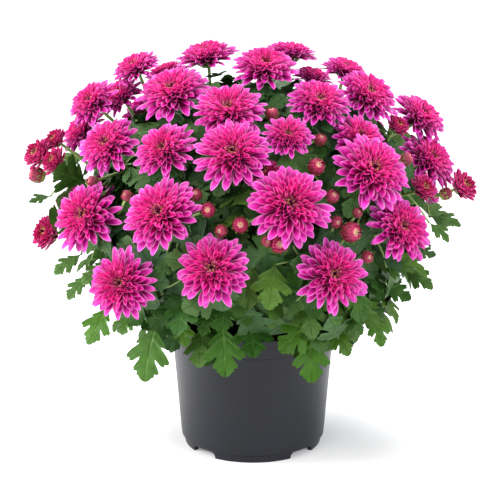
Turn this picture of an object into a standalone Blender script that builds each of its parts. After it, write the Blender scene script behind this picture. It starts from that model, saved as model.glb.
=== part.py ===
"""A pot chrysanthemum: five bushy cuttings in one nursery pot, with a double bloom on each flower stem.

The pot's axis is the Z axis and the pot stands on z = 0. Lengths are metres, and MM turns millimetres into metres.
Blooms, buds and leaves that face the front were placed by eye on the picture plane of a viewer who stands
VIEWER_DISTANCE away: each table gives the place in picture units, and a ray from the viewer finds it on the dome.
"""

import math
import random

import bmesh
import bpy
from mathutils import Matrix, Vector
from mathutils.bvhtree import BVHTree

MM = 0.001

# Pot
POT_HEIGHT = 131 * MM
RIM_RADIUS = 85 * MM
RIM_BAND = 19 * MM
WALL_TOP_RADIUS = 81.6 * MM
WALL_FOOT_RADIUS = 73.6 * MM
WALL = 1.6 * MM
FOOT_RADIUS = 70 * MM
FOOT_WIDTH = 5 * MM
FOOT_HEIGHT = 8 * MM
FLOOR_THICKNESS = 2 * MM
POT_SEGMENTS = 32
NOTCHES = 4
NOTCH_ANGLE = math.radians(25)
NOTCH_HEIGHT = 6.5 * MM
DRAIN_RADIUS = 6 * MM
DRAIN_CIRCLE = 46 * MM

# Soil
SOIL_LEVEL = 108 * MM
SOIL_CROWN = 4 * MM
GAP = 0.4 * MM

# Plants
PLANTS = ("front", "right", "back_right", "back_left", "left")
FIRST_PLANT_AZIMUTH = -90
CROWN_CIRCLE = 40 * MM
STEM_RADIUS = 2.8 * MM
STEM_DEPTH = 34 * MM
STEM_HOLE_RADIUS = 3.5 * MM
PINCH_HEIGHT = 150 * MM
SHOOT_RADIUS = 1.9 * MM
PETIOLE_RADIUS = 1.0 * MM
CALYX_RADIUS = 0.2

# The dome that the blooms stand on
DOME_RADIUS = 186 * MM
DOME_HALF_HEIGHT = 166 * MM
DOME_CENTRE = Vector((0, 0, 222 * MM))

# The viewer, and the picture that the tables are read on
VIEWER_DISTANCE = 1.40
VIEWER_HEIGHT = 0.55
VIEWER_PITCH = math.radians(14)
PICTURE_SCALE = 1434
PICTURE_AXIS = (252.8, 249.5)
TURN_TO_VIEWER = 0.4

# Front blooms: across, down, diameter in mm, and how far in mm the bloom stands above the dome and further back
OPEN_BLOOMS = (
    (87, 217, 65, 0, 0), (162, 215, 74, 4, 0), (109, 146, 58, 4, 0), (165, 151, 61, 0, 0),
    (233, 155, 72, 4, 0), (228, 112, 70, 0, 0), (173, 94, 72, 6, 0), (121, 97, 50, 0, 25),
    (84, 131, 50, -2, 18), (93, 103, 50, 0, -10), (139, 74, 50, 0, 20), (207, 58, 64, 4, 8),
    (265, 69, 65, 6, 4), (290, 55, 58, 0, 50), (345, 72, 50, 0, 10), (367, 96, 62, 6, 0),
    (319, 104, 62, 0, 0), (419, 118, 57, 2, 15), (288, 137, 47, 0, 0), (360, 137, 54, -4, 0),
    (370, 172, 75, 6, 0), (435, 156, 61, 2, 0), (289, 206, 78, 6, 0), (399, 229, 63, 0, 0),
    (332, 276, 69, 0, 0), (213, 270, 70, 0, 0), (122, 284, 64, 0, 0), (166, 74, 46, -6, 45),
    (312, 78, 46, -8, 55),
)
# Half-open blooms, in the same units
YOUNG_BLOOMS = (
    (460, 188, 38, 6, 0), (51, 234, 42, 4, 0), (41, 156, 38, 8, 0), (57, 163, 34, 4, -25),
    (55, 140, 30, 10, 0), (396, 128, 28, 0, 0), (421, 190, 32, -4, 0), (263, 172, 34, -8, 0),
)
# Buds: across, down, diameter in mm, and how far above the dome in mm
BUDS = (
    (34, 174, 15, 6), (62, 202, 10, 0), (94, 182, 11, -4), (127.5, 196, 10, -6), (196, 195, 11, -8),
    (208, 210, 13, -4), (240.5, 225, 14, -4), (221.5, 231, 11, -8), (272, 115, 12, -8), (316, 167, 15, -6),
    (332, 197, 12, -10), (350.5, 232, 18, -4), (336, 222, 11, -10), (279.5, 244, 16, -4), (267, 241, 10, -6),
    (320, 140, 11, -10), (405.5, 159.5, 12, -6), (367, 257, 11, -8), (445, 194, 12, 0), (357, 213, 9, -10),
)
# Hanging leaves in front: base across, down and depth in mm towards the viewer, then the same for the tip
FRONT_LEAVES = (
    (52, 196, 20, 29, 203, 30), (83, 254, 40, 54, 274, 50), (89, 275, 60, 68, 300, 70),
    (111, 303, 70, 88, 345, 90), (157, 321, 100, 144, 382, 118), (223, 321, 112, 226, 377, 124),
    (309, 330, 108, 311, 383, 122), (313, 318, 104, 279, 352, 128), (331, 322, 86, 349, 356, 96),
    (371, 311, 80, 382, 347, 96), (382, 285, 80, 411, 300, 92), (401, 268, 60, 433, 289, 72),
    (428, 217, 30, 461, 226, 44), (412, 250, 50, 436, 256, 60), (270, 300, 118, 272, 329, 128),
    (281, 268, 142, 288, 308, 158), (183, 294, 128, 164, 307, 140), (212, 308, 116, 202, 336, 134),
    (183, 318, 104, 186, 347, 118), (428, 222, 30, 449, 242, 40), (135, 312, 90, 121, 335, 98),
    (166, 255, 138, 159, 281, 146), (345, 312, 100, 362, 335, 112), (243, 300, 124, 248, 327, 136),
    (372, 262, 80, 414, 268, 92), (362, 246, 60, 404, 256, 70), (125, 243, 60, 93, 258, 70),
    (112, 262, 60, 82, 284, 68), (180, 300, 112, 150, 330, 126), (352, 296, 90, 384, 318, 100),
)

# Rings of blooms that the front view doesn't show: height angle in degrees, and how many would fill the ring
BACK_RINGS = ((8, 15), (36, 12), (62, 6))
BACK_DIAMETER = 68 * MM

# How a crowded bloom, a stem, a bud or a leaf is moved until it crosses nothing
SETTLE_STEP = 3 * MM
SETTLE_STEPS = 6
ATTEMPTS = 10
BOW_STEP = 4 * MM
BUD_STEP = 2 * MM
DEPTH_STEP = 7

# Flower stems: points along one, how many may grow from one bough, and how far off its blooms may be
STEM_STEPS = 4
MOST_SHARES = 4
BOUGH_REACH = 110 * MM

# Other leaves: how many hang over the rim, and where along the flower stems the rest grow, as (place, one in how many)
SKIRT_LEAVES = 16
SHOOT_LEAF_PLACES = ((0.50, 1), (0.30, 2))
GOLDEN_ANGLE = math.radians(137.5)

# Edges shorter than this are closed up where a plant's pieces join
SCRAP = 0.02 * MM

# A bloom in shares of its radius, from the calyx up: tiers of petals as (root radius, root height, notch radius,
# notch height, tip radius, tip height), then the ring and the pole of its eye
OPEN_TIERS = (
    (0.24, -0.18, 0.74, -0.03, 1.00, 0.02),
    (0.50, 0.07, 0.61, 0.17, 0.84, 0.26),
    (0.37, 0.23, 0.43, 0.33, 0.59, 0.46),
)
YOUNG_TIERS = (
    (0.24, -0.20, 0.60, 0.14, 0.98, 0.34),
    (0.42, 0.16, 0.46, 0.40, 0.60, 0.66),
)
EYE = {"open": (0.23, 0.31, 0.35), "young": (0.28, 0.40, 0.52)}
PETALS = {"open": 8, "young": 6}

# A leaf in shares of its length: along and across for one edge from the stalk to the tip, and a point along its rib
LEAF_EDGE = ((0.30, 0.36), (0.46, 0.20), (0.66, 0.43), (0.78, 0.20))
LEAF_RIB = 0.55
LEAF_HALF_THICKNESS = 0.7 * MM


def colour(name, rgb, roughness):
    """A Principled material of one colour."""
    material = bpy.data.materials.new(name)
    material.use_nodes = True
    shader = material.node_tree.nodes["Principled BSDF"]
    shader.inputs["Base Color"].default_value = (*rgb, 1)
    shader.inputs["Roughness"].default_value = roughness
    return material


def add_object(name, bm, material):
    """Puts a bmesh in the scene as one named object."""
    mesh = bpy.data.meshes.new(name)
    bmesh.ops.recalc_face_normals(bm, faces=bm.faces)
    bm.to_mesh(mesh)
    bm.free()
    mesh.materials.append(material)
    placed = bpy.data.objects.new(name, mesh)
    bpy.context.scene.collection.objects.link(placed)
    return placed


def evaluated(target):
    """The object's mesh with its modifiers applied, as a bmesh."""
    graph = bpy.context.evaluated_depsgraph_get()
    bm = bmesh.new()
    bm.from_object(target, graph)
    return bm


def turned(name, profile, segments, material):
    """A profile of (radius, height) points turned round the Z axis. Its ends lie on the axis."""
    bm = bmesh.new()
    points = [bm.verts.new((radius, 0, height)) for radius, height in profile]
    edges = [bm.edges.new(pair) for pair in zip(points, points[1:])]
    bmesh.ops.spin(
        bm, geom=points + edges, cent=(0, 0, 0), axis=(0, 0, 1), angle=math.tau, steps=segments, use_merge=True
    )
    bmesh.ops.remove_doubles(bm, verts=bm.verts, dist=0.01 * MM)
    return add_object(name, bm, material)


def cut(target, cutters):
    """Cuts the cutters out of the target, and removes them."""
    group = bpy.data.collections.new("cutters")
    bpy.context.scene.collection.children.link(group)
    for cutter in cutters:
        bpy.context.scene.collection.objects.unlink(cutter)
        group.objects.link(cutter)
    difference = target.modifiers.new("cut", "BOOLEAN")
    difference.operand_type = "COLLECTION"
    difference.collection = group
    difference.operation = "DIFFERENCE"
    bm = evaluated(target)
    target.modifiers.clear()
    bm.to_mesh(target.data)
    bm.free()
    for cutter in cutters:
        bpy.data.objects.remove(cutter)
    bpy.data.collections.remove(group)


def upright_prism(name, x, y, radius, low, high, sides, material):
    """A closed upright prism, used as a cutter."""
    bm = bmesh.new()
    bmesh.ops.create_cone(
        bm, cap_ends=True, segments=sides, radius1=radius, radius2=radius, depth=high - low,
        matrix=Matrix.Translation((x, y, (low + high) / 2)),
    )
    return add_object(name, bm, material)


def make_pot(material):
    """The thin moulded pot: notched foot ring, raised floor with drain holes, tapered wall and a stepped rim."""
    step = POT_HEIGHT - RIM_BAND
    profile = (
        (0, FOOT_HEIGHT - FLOOR_THICKNESS),
        (FOOT_RADIUS - FOOT_WIDTH - 1.5 * MM, FOOT_HEIGHT - FLOOR_THICKNESS),
        (FOOT_RADIUS - FOOT_WIDTH, 0),
        (FOOT_RADIUS, 0),
        (FOOT_RADIUS + 0.8 * MM, FOOT_HEIGHT - 1 * MM),
        (WALL_FOOT_RADIUS - 0.6 * MM, FOOT_HEIGHT + 0.6 * MM),
        (WALL_FOOT_RADIUS, FOOT_HEIGHT + 4 * MM),
        (WALL_TOP_RADIUS, step - 1.5 * MM),
        (RIM_RADIUS - 1.2 * MM, step),
        (RIM_RADIUS, POT_HEIGHT - 0.8 * MM),
        (RIM_RADIUS - 0.4 * MM, POT_HEIGHT),
        (RIM_RADIUS - WALL, POT_HEIGHT),
        (RIM_RADIUS - 1.2 * MM - WALL, step + 1.5 * MM),
        (WALL_TOP_RADIUS - WALL, step),
        (WALL_FOOT_RADIUS - WALL - 0.8 * MM, FOOT_HEIGHT + 3 * MM),
        (WALL_FOOT_RADIUS - 2 * WALL, FOOT_HEIGHT),
        (0, FOOT_HEIGHT),
    )
    pot = turned("pot", profile, POT_SEGMENTS, material)
    cutters = []
    for index in range(NOTCHES):
        azimuth = math.tau * (index + 0.5) / NOTCHES
        bm = bmesh.new()
        size = (24 * MM, 2 * FOOT_RADIUS * math.sin(NOTCH_ANGLE / 2), 2 * NOTCH_HEIGHT)
        place = Matrix.Rotation(azimuth, 4, "Z") @ Matrix.Translation((FOOT_RADIUS, 0, 0))
        bmesh.ops.create_cube(bm, size=1, matrix=place @ Matrix.Diagonal((*size, 1)))
        cutters.append(add_object(f"notch_{index}", bm, material))
        drain = math.tau * index / NOTCHES
        x, y = DRAIN_CIRCLE * math.cos(drain), DRAIN_CIRCLE * math.sin(drain)
        cutters.append(upright_prism(f"drain_{index}", x, y, DRAIN_RADIUS, 0, 2 * FOOT_HEIGHT, 8, material))
    cut(pot, cutters)
    return pot


def crown_places():
    """Where each plant's main stem leaves the soil, as (x, y)."""
    step = math.tau / len(PLANTS)
    first = math.radians(FIRST_PLANT_AZIMUTH)
    return [
        (CROWN_CIRCLE * math.cos(first + step * k), CROWN_CIRCLE * math.sin(first + step * k))
        for k in range(len(PLANTS))
    ]


def make_soil(material):
    """The peat that fills the pot, with one plain hole for each main stem."""
    inner_top = WALL_TOP_RADIUS - WALL - GAP - 0.8 * MM
    profile = (
        (0, FOOT_HEIGHT + GAP),
        (WALL_FOOT_RADIUS - 2 * WALL - 2 * GAP, FOOT_HEIGHT + GAP),
        (WALL_FOOT_RADIUS - WALL - 4 * GAP, FOOT_HEIGHT + 4 * MM),
        (inner_top, SOIL_LEVEL),
        (inner_top * 0.6, SOIL_LEVEL + SOIL_CROWN * 0.7),
        (0, SOIL_LEVEL + SOIL_CROWN),
    )
    soil = turned("soil", profile, 24, material)
    bottom = SOIL_LEVEL - STEM_DEPTH - GAP
    top = POT_HEIGHT
    holes = [
        upright_prism(f"hole_{k}", x, y, STEM_HOLE_RADIUS, bottom, top, 8, material)
        for k, (x, y) in enumerate(crown_places())
    ]
    cut(soil, holes)
    return soil


def picture_ray(across, down):
    """The viewer's place and the direction in which a picture point lies."""
    eye = Vector((0, -VIEWER_DISTANCE, VIEWER_HEIGHT))
    forward = Vector((0, math.cos(VIEWER_PITCH), -math.sin(VIEWER_PITCH)))
    up = Vector((0, math.sin(VIEWER_PITCH), math.cos(VIEWER_PITCH)))
    right = Vector((1, 0, 0))
    offset = right * (across - PICTURE_AXIS[0]) + up * (PICTURE_AXIS[1] - down)
    return eye, (forward + offset / PICTURE_SCALE).normalized()


def on_dome(across, down, lift):
    """Where the ray of a picture point meets the dome, raised by lift, or passes nearest to it."""
    eye, ray = picture_ray(across, down)
    radii = Vector((DOME_RADIUS + lift, DOME_RADIUS + lift, DOME_HALF_HEIGHT + lift))
    start = Vector((eye - DOME_CENTRE)[i] / radii[i] for i in range(3))
    way = Vector(ray[i] / radii[i] for i in range(3))
    half_b = start.dot(way) / way.length_squared
    inside = half_b**2 - (start.length_squared - 1) / way.length_squared
    return eye + ray * (-half_b - math.sqrt(max(inside, 0)))


def dome_normal(point):
    """The direction out of the dome at a point."""
    offset = point - DOME_CENTRE
    flat = DOME_RADIUS**2
    return Vector((offset.x / flat, offset.y / flat, offset.z / DOME_HALF_HEIGHT**2)).normalized()


def at_depth(across, down, depth):
    """The point of a picture ray that lies depth millimetres in front of the pot's axis."""
    eye, ray = picture_ray(across, down)
    return eye + ray * ((-depth * MM - eye.y) / ray.y)


def leaning(axis, seed, most=7):
    """The axis, tilted by a few seeded degrees."""
    draw = random.Random(seed)
    lean = Vector([draw.uniform(-1, 1) for _ in range(3)]) * math.tan(math.radians(most))
    return (axis + lean).normalized()


def bloom_plan(kind, centre, axis, radius, number):
    """What is known of one bloom. Each is turned about its axis by a golden angle more than the last."""
    return {"kind": kind, "centre": centre, "axis": axis, "radius": radius, "spin": number * GOLDEN_ANGLE}


def plan_blooms():
    """Every bloom, in the order of the tables and then of the rings at the back."""
    blooms = []
    for kind, table in (("open", OPEN_BLOOMS), ("young", YOUNG_BLOOMS)):
        for across, down, diameter, lift, back in table:
            centre = on_dome(across, down, lift * MM) + picture_ray(across, down)[1] * back * MM
            to_viewer = -picture_ray(across, down)[1]
            axis = leaning(dome_normal(centre) + to_viewer * TURN_TO_VIEWER, len(blooms))
            blooms.append(bloom_plan(kind, centre, axis, diameter * MM / 2, len(blooms)))
    for ring, (height_angle, count) in enumerate(BACK_RINGS):
        for index in range(count):
            draw = random.Random(100 * ring + index)
            azimuth = math.tau * (index + 0.5 * (ring % 2)) / count + math.radians(draw.uniform(-4, 4))
            height = math.radians(height_angle + draw.uniform(-4, 4))
            radius = BACK_DIAMETER * draw.uniform(0.88, 1.06) / 2
            centre = DOME_CENTRE + Vector((
                DOME_RADIUS * math.cos(height) * math.cos(azimuth),
                DOME_RADIUS * math.cos(height) * math.sin(azimuth),
                DOME_HALF_HEIGHT * math.sin(height),
            ))
            near = [(centre - b["centre"]).length < 0.86 * (radius + b["radius"]) for b in blooms]
            if any(near):
                continue
            axis = leaning(dome_normal(centre), len(blooms))
            blooms.append(bloom_plan("open", centre, axis, radius, len(blooms)))
    return blooms


def facing(origin, axis, spin=0.0):
    """A matrix that stands a shape's Z axis along the given axis at the origin."""
    turn = axis.to_track_quat("Z", "Y").to_matrix().to_4x4()
    return Matrix.Translation(origin) @ turn @ Matrix.Rotation(spin, 4, "Z")


def ring_of(bm, count, radius, height, phase):
    """A ring of vertices about the Z axis. The phase is in steps of the ring."""
    steps = [math.tau * (k + phase) / count for k in range(count)]
    return [bm.verts.new((radius * math.cos(a), radius * math.sin(a), height)) for a in steps]


def bloom_mesh(kind, radius, place):
    """A bloom as one closed skin: each tier of petals runs out to its tips and back in to the next tier's roots."""
    bm = bmesh.new()
    count = PETALS[kind]
    tiers = OPEN_TIERS if kind == "open" else YOUNG_TIERS
    roots = [tier[:2] for tier in tiers] + [EYE[kind][:2]]
    below = ring_of(bm, count, roots[0][0] * radius, roots[0][1] * radius, 0)
    bm.faces.new(below)
    for level, (_, _, notch_radius, notch_height, tip_radius, tip_height) in enumerate(tiers):
        phase = level / 2
        notches = ring_of(bm, count, notch_radius * radius, notch_height * radius, phase)
        tips = ring_of(bm, count, tip_radius * radius, tip_height * radius, phase + 0.5)
        root_radius, root_height = roots[level + 1]
        above = ring_of(bm, count, root_radius * radius, root_height * radius, phase + 0.5)
        for k in range(count):
            after = (k + 1) % count
            for corners in (
                (below[k], notches[k], tips[k]),
                (below[k], tips[k], below[after]),
                (below[after], tips[k], notches[after]),
                (above[k], tips[k], notches[k]),
                (above[k], notches[after], tips[k]),
                (above[k - 1], above[k], notches[k]),
            ):
                bm.faces.new(corners)
        below = above
    pole = bm.verts.new((0, 0, EYE[kind][2] * radius))
    for k in range(count):
        bm.faces.new((below[k - 1], below[k], pole))
    bmesh.ops.recalc_face_normals(bm, faces=bm.faces)
    bmesh.ops.transform(bm, matrix=place, verts=bm.verts)
    return bm


def tree_of(bm):
    """A search tree of a bmesh's faces."""
    return BVHTree.FromBMesh(bm)


def settle(blooms):
    """Crowded blooms stand at different heights: one that touches an earlier one moves along its axis until clear."""
    trees = []
    for bloom in blooms:
        for step in range(2 * SETTLE_STEPS + 1):
            shift = (step + 1) // 2 * SETTLE_STEP * (1 if step % 2 else -1)
            centre = bloom["centre"] + bloom["axis"] * shift
            bm = bloom_mesh(bloom["kind"], bloom["radius"] * 1.02, facing(centre, bloom["axis"], bloom["spin"]))
            tree = tree_of(bm)
            bm.free()
            if not any(tree.overlap(other) for other in trees):
                break
        else:
            continue
        bloom["centre"] = centre
        trees.append(tree)
        yield bloom


def plant_of(point):
    """The number of the plant whose sector of the pot holds the point."""
    azimuth = math.degrees(math.atan2(point.y, point.x)) - FIRST_PLANT_AZIMUTH
    return round(azimuth / (360 / len(PLANTS))) % len(PLANTS)


def bent(start, first, second, end, count):
    """A bent line of points from start to end, which leaves and arrives along two control points."""
    shares = [k / (count - 1) for k in range(count)]
    return [
        start * (1 - t) ** 3 + first * 3 * t * (1 - t) ** 2 + second * 3 * t * t * (1 - t) + end * t**3
        for t in shares
    ]


def spot_on(line, share):
    """The point at a share of the way along a bent line, counted in its steps, and the line's direction there."""
    place = share * (len(line) - 1)
    step = min(int(place), len(line) - 2)
    way = line[step + 1] - line[step]
    return line[step] + way * (place - step), way.normalized()


def bow(way, attempt):
    """How far to bow a stem sideways: not at all at first, then further and to another side at each attempt."""
    side = Matrix.Rotation(attempt * GOLDEN_ANGLE, 3, way) @ way.orthogonal().normalized()
    return side * attempt * BOW_STEP


def nearest_spot(shoots, plant, point, shares):
    """The spot nearest to a point on the flower stems of one plant."""
    spots = [spot_on(s["line"], share) for s in shoots if s["plant"] == plant for share in shares]
    return min(spots, key=lambda spot: (spot[0] - point).length)


def flower_stem(start, bloom, lean, attempt):
    """The line of a flower stem, from where it starts to the flat under its bloom."""
    tiers = OPEN_TIERS if bloom["kind"] == "open" else YOUNG_TIERS
    end = bloom["centre"] + bloom["axis"] * (tiers[0][1] * bloom["radius"] - GAP)
    neck = end - bloom["axis"] * 0.9 * CALYX_RADIUS * bloom["radius"]
    span = (end - start).length
    aside = bow(end - start, attempt)
    first = start + lean * 0.35 * span + aside
    second = neck - bloom["axis"] * 0.34 * span + aside
    return bent(start, first, second, neck, STEM_STEPS) + [end]


def stem_start(bloom, index, plant, boughs):
    """Where a flower stem starts and the way it leaves: on the nearest free bough, or else at the plant's crown."""
    if boughs:
        bough = min(boughs, key=lambda s: (s["bloom"]["centre"] - bloom["centre"]).length)
        return *spot_on(bough["line"], 0.25 + 0.09 * bough["shares"]), bough
    start = Vector((*crown_places()[plant], PINCH_HEIGHT - (index % 4) * 5 * MM))
    outward = Vector((bloom["centre"].x - start.x, bloom["centre"].y - start.y, 0)).normalized()
    return start, Vector((0, 0, 1)) + outward * 0.45, None


def plan_shoots(blooms, obstacles):
    """One flower stem for each bloom. A bloom near one that already has a bough shares it, and the rest start one."""
    shoots = []
    for index, bloom in enumerate(blooms):
        plant = plant_of(bloom["centre"])
        boughs = [
            s for s in shoots
            if s["plant"] == plant and s["shares"] < MOST_SHARES
            and (s["bloom"]["centre"] - bloom["centre"]).length < BOUGH_REACH
        ]
        start, lean, bough = stem_start(bloom, index, plant, boughs)
        others = [s["tree"] for s in shoots if s["plant"] != plant]
        for attempt in range(ATTEMPTS):
            shoot = {"plant": plant, "bloom": bloom, "line": flower_stem(start, bloom, lean, attempt)}
            shoot["mesh"] = shoot_mesh(shoot)
            shoot["tree"] = tree_of(shoot["mesh"])
            if clear_of(shoot["mesh"], obstacles + others):
                break
        shoot["shares"] = MOST_SHARES if bough else 0
        if bough:
            bough["shares"] += 1
        shoots.append(shoot)
    return shoots


def tube(line, radii, sides):
    """A closed tube along a bent line, with a radius for each of its points. Its sections follow on without a twist."""
    bm = bmesh.new()
    rings = []
    before = line[1] - line[0]
    turn = before.to_track_quat("Z", "Y")
    for k, (point, radius) in enumerate(zip(line, radii, strict=True)):
        way = line[min(k + 1, len(line) - 1)] - line[max(k - 1, 0)]
        turn = before.rotation_difference(way) @ turn
        before = way
        place = Matrix.Translation(point) @ turn.to_matrix().to_4x4()
        rings.append(bmesh.ops.create_circle(bm, segments=sides, radius=radius, matrix=place)["verts"])
    for low, high in zip(rings, rings[1:]):
        for k in range(sides):
            after = (k + 1) % sides
            bm.faces.new((low[k], low[after], high[after], high[k]))
    for end in (rings[0], rings[-1]):
        bm.faces.new(end)
    bmesh.ops.recalc_face_normals(bm, faces=bm.faces)
    return bm


def shoot_mesh(shoot):
    """A flower stem: slender all the way, then opening into the green cup under its bloom."""
    cup = CALYX_RADIUS * shoot["bloom"]["radius"]
    slender = [SHOOT_RADIUS * (1.2 - 0.3 * k / STEM_STEPS) for k in range(STEM_STEPS)]
    return tube(shoot["line"], slender + [cup], 3)


def leaf_mesh(leaf):
    """A lobed leaf: thick along the rib, arched along its length, folded along the rib and thin at its cut edge."""
    bm = bmesh.new()
    length = leaf["length"]

    def vertex(x, y, thickness):
        height = leaf["arch"] * (x - x * x) + leaf["fold"] * abs(y) + thickness / length
        return bm.verts.new((x * length, y * length, height * length))

    edges = [[vertex(x, side * y, 0) for x, y in LEAF_EDGE] for side in (1, -1)]
    tip = vertex(1, 0, 0)
    bases = []
    for thickness in (LEAF_HALF_THICKNESS, -LEAF_HALF_THICKNESS):
        base = vertex(0, 0, thickness)
        rib = vertex(LEAF_RIB, 0, thickness)
        bases.append(base)
        for edge in edges:
            for near, far in zip((base, *edge), (*edge, tip)):
                bm.faces.new((near, far, rib))
    for lobe, *_ in edges:
        bm.faces.new((*bases, lobe))
    bmesh.ops.recalc_face_normals(bm, faces=bm.faces)
    bmesh.ops.transform(bm, matrix=leaf_place(leaf), verts=bm.verts)
    return bm


def leaf_place(leaf):
    """The matrix that lays a leaf's X axis along its direction, with its upper face towards its facing side."""
    x_axis = leaf["direction"].normalized()
    y_axis = leaf["up"].cross(x_axis).normalized()
    z_axis = x_axis.cross(y_axis)
    turn = Matrix((x_axis, y_axis, z_axis)).transposed().to_4x4()
    return Matrix.Translation(leaf["base"]) @ turn


def shoot_leaf(shoot, number, place, attempt):
    """A leaf on a flower stem: one golden angle on from the last, and turned further at each new attempt."""
    draw = random.Random(1000 * number + round(100 * place))
    base, way = spot_on(shoot["line"], place)
    turn = number + GOLDEN_ANGLE * (100 * place / 18) + attempt * math.radians(70) + draw.uniform(-0.2, 0.2)
    side = Matrix.Rotation(turn, 3, way) @ way.orthogonal().normalized()
    outward = dome_normal(base)
    direction = (side + way * 0.35 + outward * 0.45).normalized()
    length = (68 - 26 * place + draw.uniform(-3, 5)) * MM * (1 - 0.03 * attempt)
    return {
        "base": base, "direction": direction, "up": outward + way * 0.5, "length": length,
        "arch": draw.uniform(0.05, 0.35), "fold": draw.uniform(0.0, 0.25), "plant": shoot["plant"],
    }


def hanging_leaf(row, number, attempt):
    """A leaf that the front view shows, from its base and its tip on the picture. Each attempt tries another depth."""
    nearer = (attempt + 1) // 2 * DEPTH_STEP * (1 if attempt % 2 else -1)
    base, tip = at_depth(row[0], row[1], row[2] + nearer), at_depth(row[3], row[4], row[5] + nearer)
    return stalked_leaf(base, tip, number, 0.18, Vector((0, -0.7, 0.4)))


def stalked_leaf(base, tip, number, arch, turned_to):
    """A leaf between two points, its upper face turned away from the plant's middle and towards the given side."""
    draw = random.Random(number)
    middle = (base + tip) / 2
    outward = (middle - Vector((0, 0, PINCH_HEIGHT))).normalized()
    return {
        "base": base, "direction": tip - base, "up": outward + turned_to, "length": (tip - base).length,
        "arch": arch, "fold": draw.uniform(0.0, 0.2), "plant": plant_of(middle),
    }


def skirt_leaf(number, attempt):
    """A leaf that hangs over the rim, at an even azimuth round the pot."""
    draw = random.Random(500 + number)
    azimuth = math.tau * (number + 0.4 * attempt) / SKIRT_LEAVES + draw.uniform(-0.1, 0.1)
    way = Vector((math.cos(azimuth), math.sin(azimuth), 0))
    base = way * draw.uniform(100, 120) * MM + Vector((0, 0, draw.uniform(158, 190) * MM))
    tip = base + way * draw.uniform(28, 44) * MM - Vector((0, 0, draw.uniform(30, 46) * MM))
    return stalked_leaf(base, tip, 500 + number, 0.2, Vector((0, 0, 0.4)))


def stalk_mesh(leaf, shoots):
    """The stalk that joins a hanging leaf to the nearest flower stem of its plant."""
    root, way = nearest_spot(shoots, leaf["plant"], leaf["base"], [k / 20 for k in range(3, 14)])
    reach = (leaf["base"] - root).length
    along = leaf["direction"].normalized()
    line = bent(root, root + way * 0.3 * reach, leaf["base"] - along * 0.3 * reach, leaf["base"] + along * 2 * MM, 3)
    return tube(line, [PETIOLE_RADIUS] * 3, 3)


def bud_stem_mesh(bud, shoots, attempt):
    """The short stem that joins a bud to the nearest flower stem of its plant."""
    foot = bud["centre"] - bud["axis"] * 20 * MM
    root, way = nearest_spot(shoots, bud["plant"], foot, [k / 20 for k in range(6, 14)])
    reach = (bud["centre"] - root).length
    aside = bow(way, attempt)
    first = root + way * 0.4 * reach + aside
    second = bud["centre"] - bud["axis"] * 0.4 * reach + aside
    return tube(bent(root, first, second, bud["centre"], 3), [SHOOT_RADIUS * 0.8] * 3, 3)


def plan_buds():
    """The unopened buds, as the tables give them."""
    buds = []
    for number, (across, down, diameter, lift) in enumerate(BUDS):
        centre = on_dome(across, down, lift * MM)
        axis = leaning(dome_normal(centre), 700 + number, 14)
        buds.append({"centre": centre, "axis": axis, "radius": diameter * MM / 2, "plant": plant_of(centre)})
    return buds


def bud_mesh(bud):
    """A closed bud, a little longer than wide."""
    bm = bmesh.new()
    bmesh.ops.create_uvsphere(bm, u_segments=6, v_segments=3, radius=bud["radius"])
    bmesh.ops.scale(bm, vec=(1, 1, 1.1), verts=bm.verts)
    bmesh.ops.transform(bm, matrix=facing(bud["centre"], bud["axis"]), verts=bm.verts)
    return bm


def joined(name, pieces, material):
    """Fuses closed bmeshes into one body, the first of them being the one that the rest grow from."""
    base, *others = [add_object(f"{name}_piece_{k}", bm, material) for k, bm in enumerate(pieces)]
    group = bpy.data.collections.new("fused")
    bpy.context.scene.collection.children.link(group)
    for other in others:
        bpy.context.scene.collection.objects.unlink(other)
        group.objects.link(other)
    union = base.modifiers.new("fuse", "BOOLEAN")
    union.operand_type = "COLLECTION"
    union.collection = group
    union.operation = "UNION"
    union.solver = "MANIFOLD"
    bm = evaluated(base)
    for piece in (base, *others):
        bpy.data.objects.remove(piece)
    bpy.data.collections.remove(group)
    keep_largest_body(bm)
    return add_object(name, bm, material)


def keep_largest_body(bm):
    """Drops loose scraps and fills sealed hollows, by keeping only the connected skin with the most faces."""
    bmesh.ops.triangulate(bm, faces=bm.faces)
    bmesh.ops.dissolve_degenerate(bm, dist=SCRAP, edges=bm.edges)
    unseen = set(bm.verts)
    bodies = []
    while unseen:
        front = [unseen.pop()]
        body = set(front)
        while front:
            near = {edge.other_vert(v) for v in front for edge in v.link_edges} & unseen
            unseen -= near
            body |= near
            front = list(near)
        bodies.append(body)
    largest = max(bodies, key=len)
    bmesh.ops.delete(bm, geom=[v for v in bm.verts if v not in largest], context="VERTS")


def main_stem(plant):
    """The closed tube of a plant's main stem, from the bottom of its hole in the soil to where it was pinched."""
    x, y = crown_places()[plant]
    low, high = SOIL_LEVEL - STEM_DEPTH, PINCH_HEIGHT + 4 * MM
    return tube([Vector((x, y, low)), Vector((x, y, high))], [STEM_RADIUS] * 2, 6)


def clear_of(bm, trees):
    """Whether a bmesh crosses none of these search trees."""
    tree = tree_of(bm)
    return not any(tree.overlap(other) for other in trees)


def grow_buds(shoots, stems, obstacles, pieces):
    """Adds each bud and its stem to its plant. A bud with no room sinks back along its axis until it has."""
    for bud in plan_buds():
        others = [tree for plant, tree in stems if plant != bud["plant"]]
        for attempt in range(ATTEMPTS):
            moved = dict(bud, centre=bud["centre"] - bud["axis"] * attempt * BUD_STEP)
            made = [bud_stem_mesh(moved, shoots, attempt), bud_mesh(moved)]
            if all(clear_of(bm, obstacles + others) for bm in made):
                pieces[bud["plant"]] += made
                stems += [(bud["plant"], tree_of(bm)) for bm in made]
                break


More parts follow.
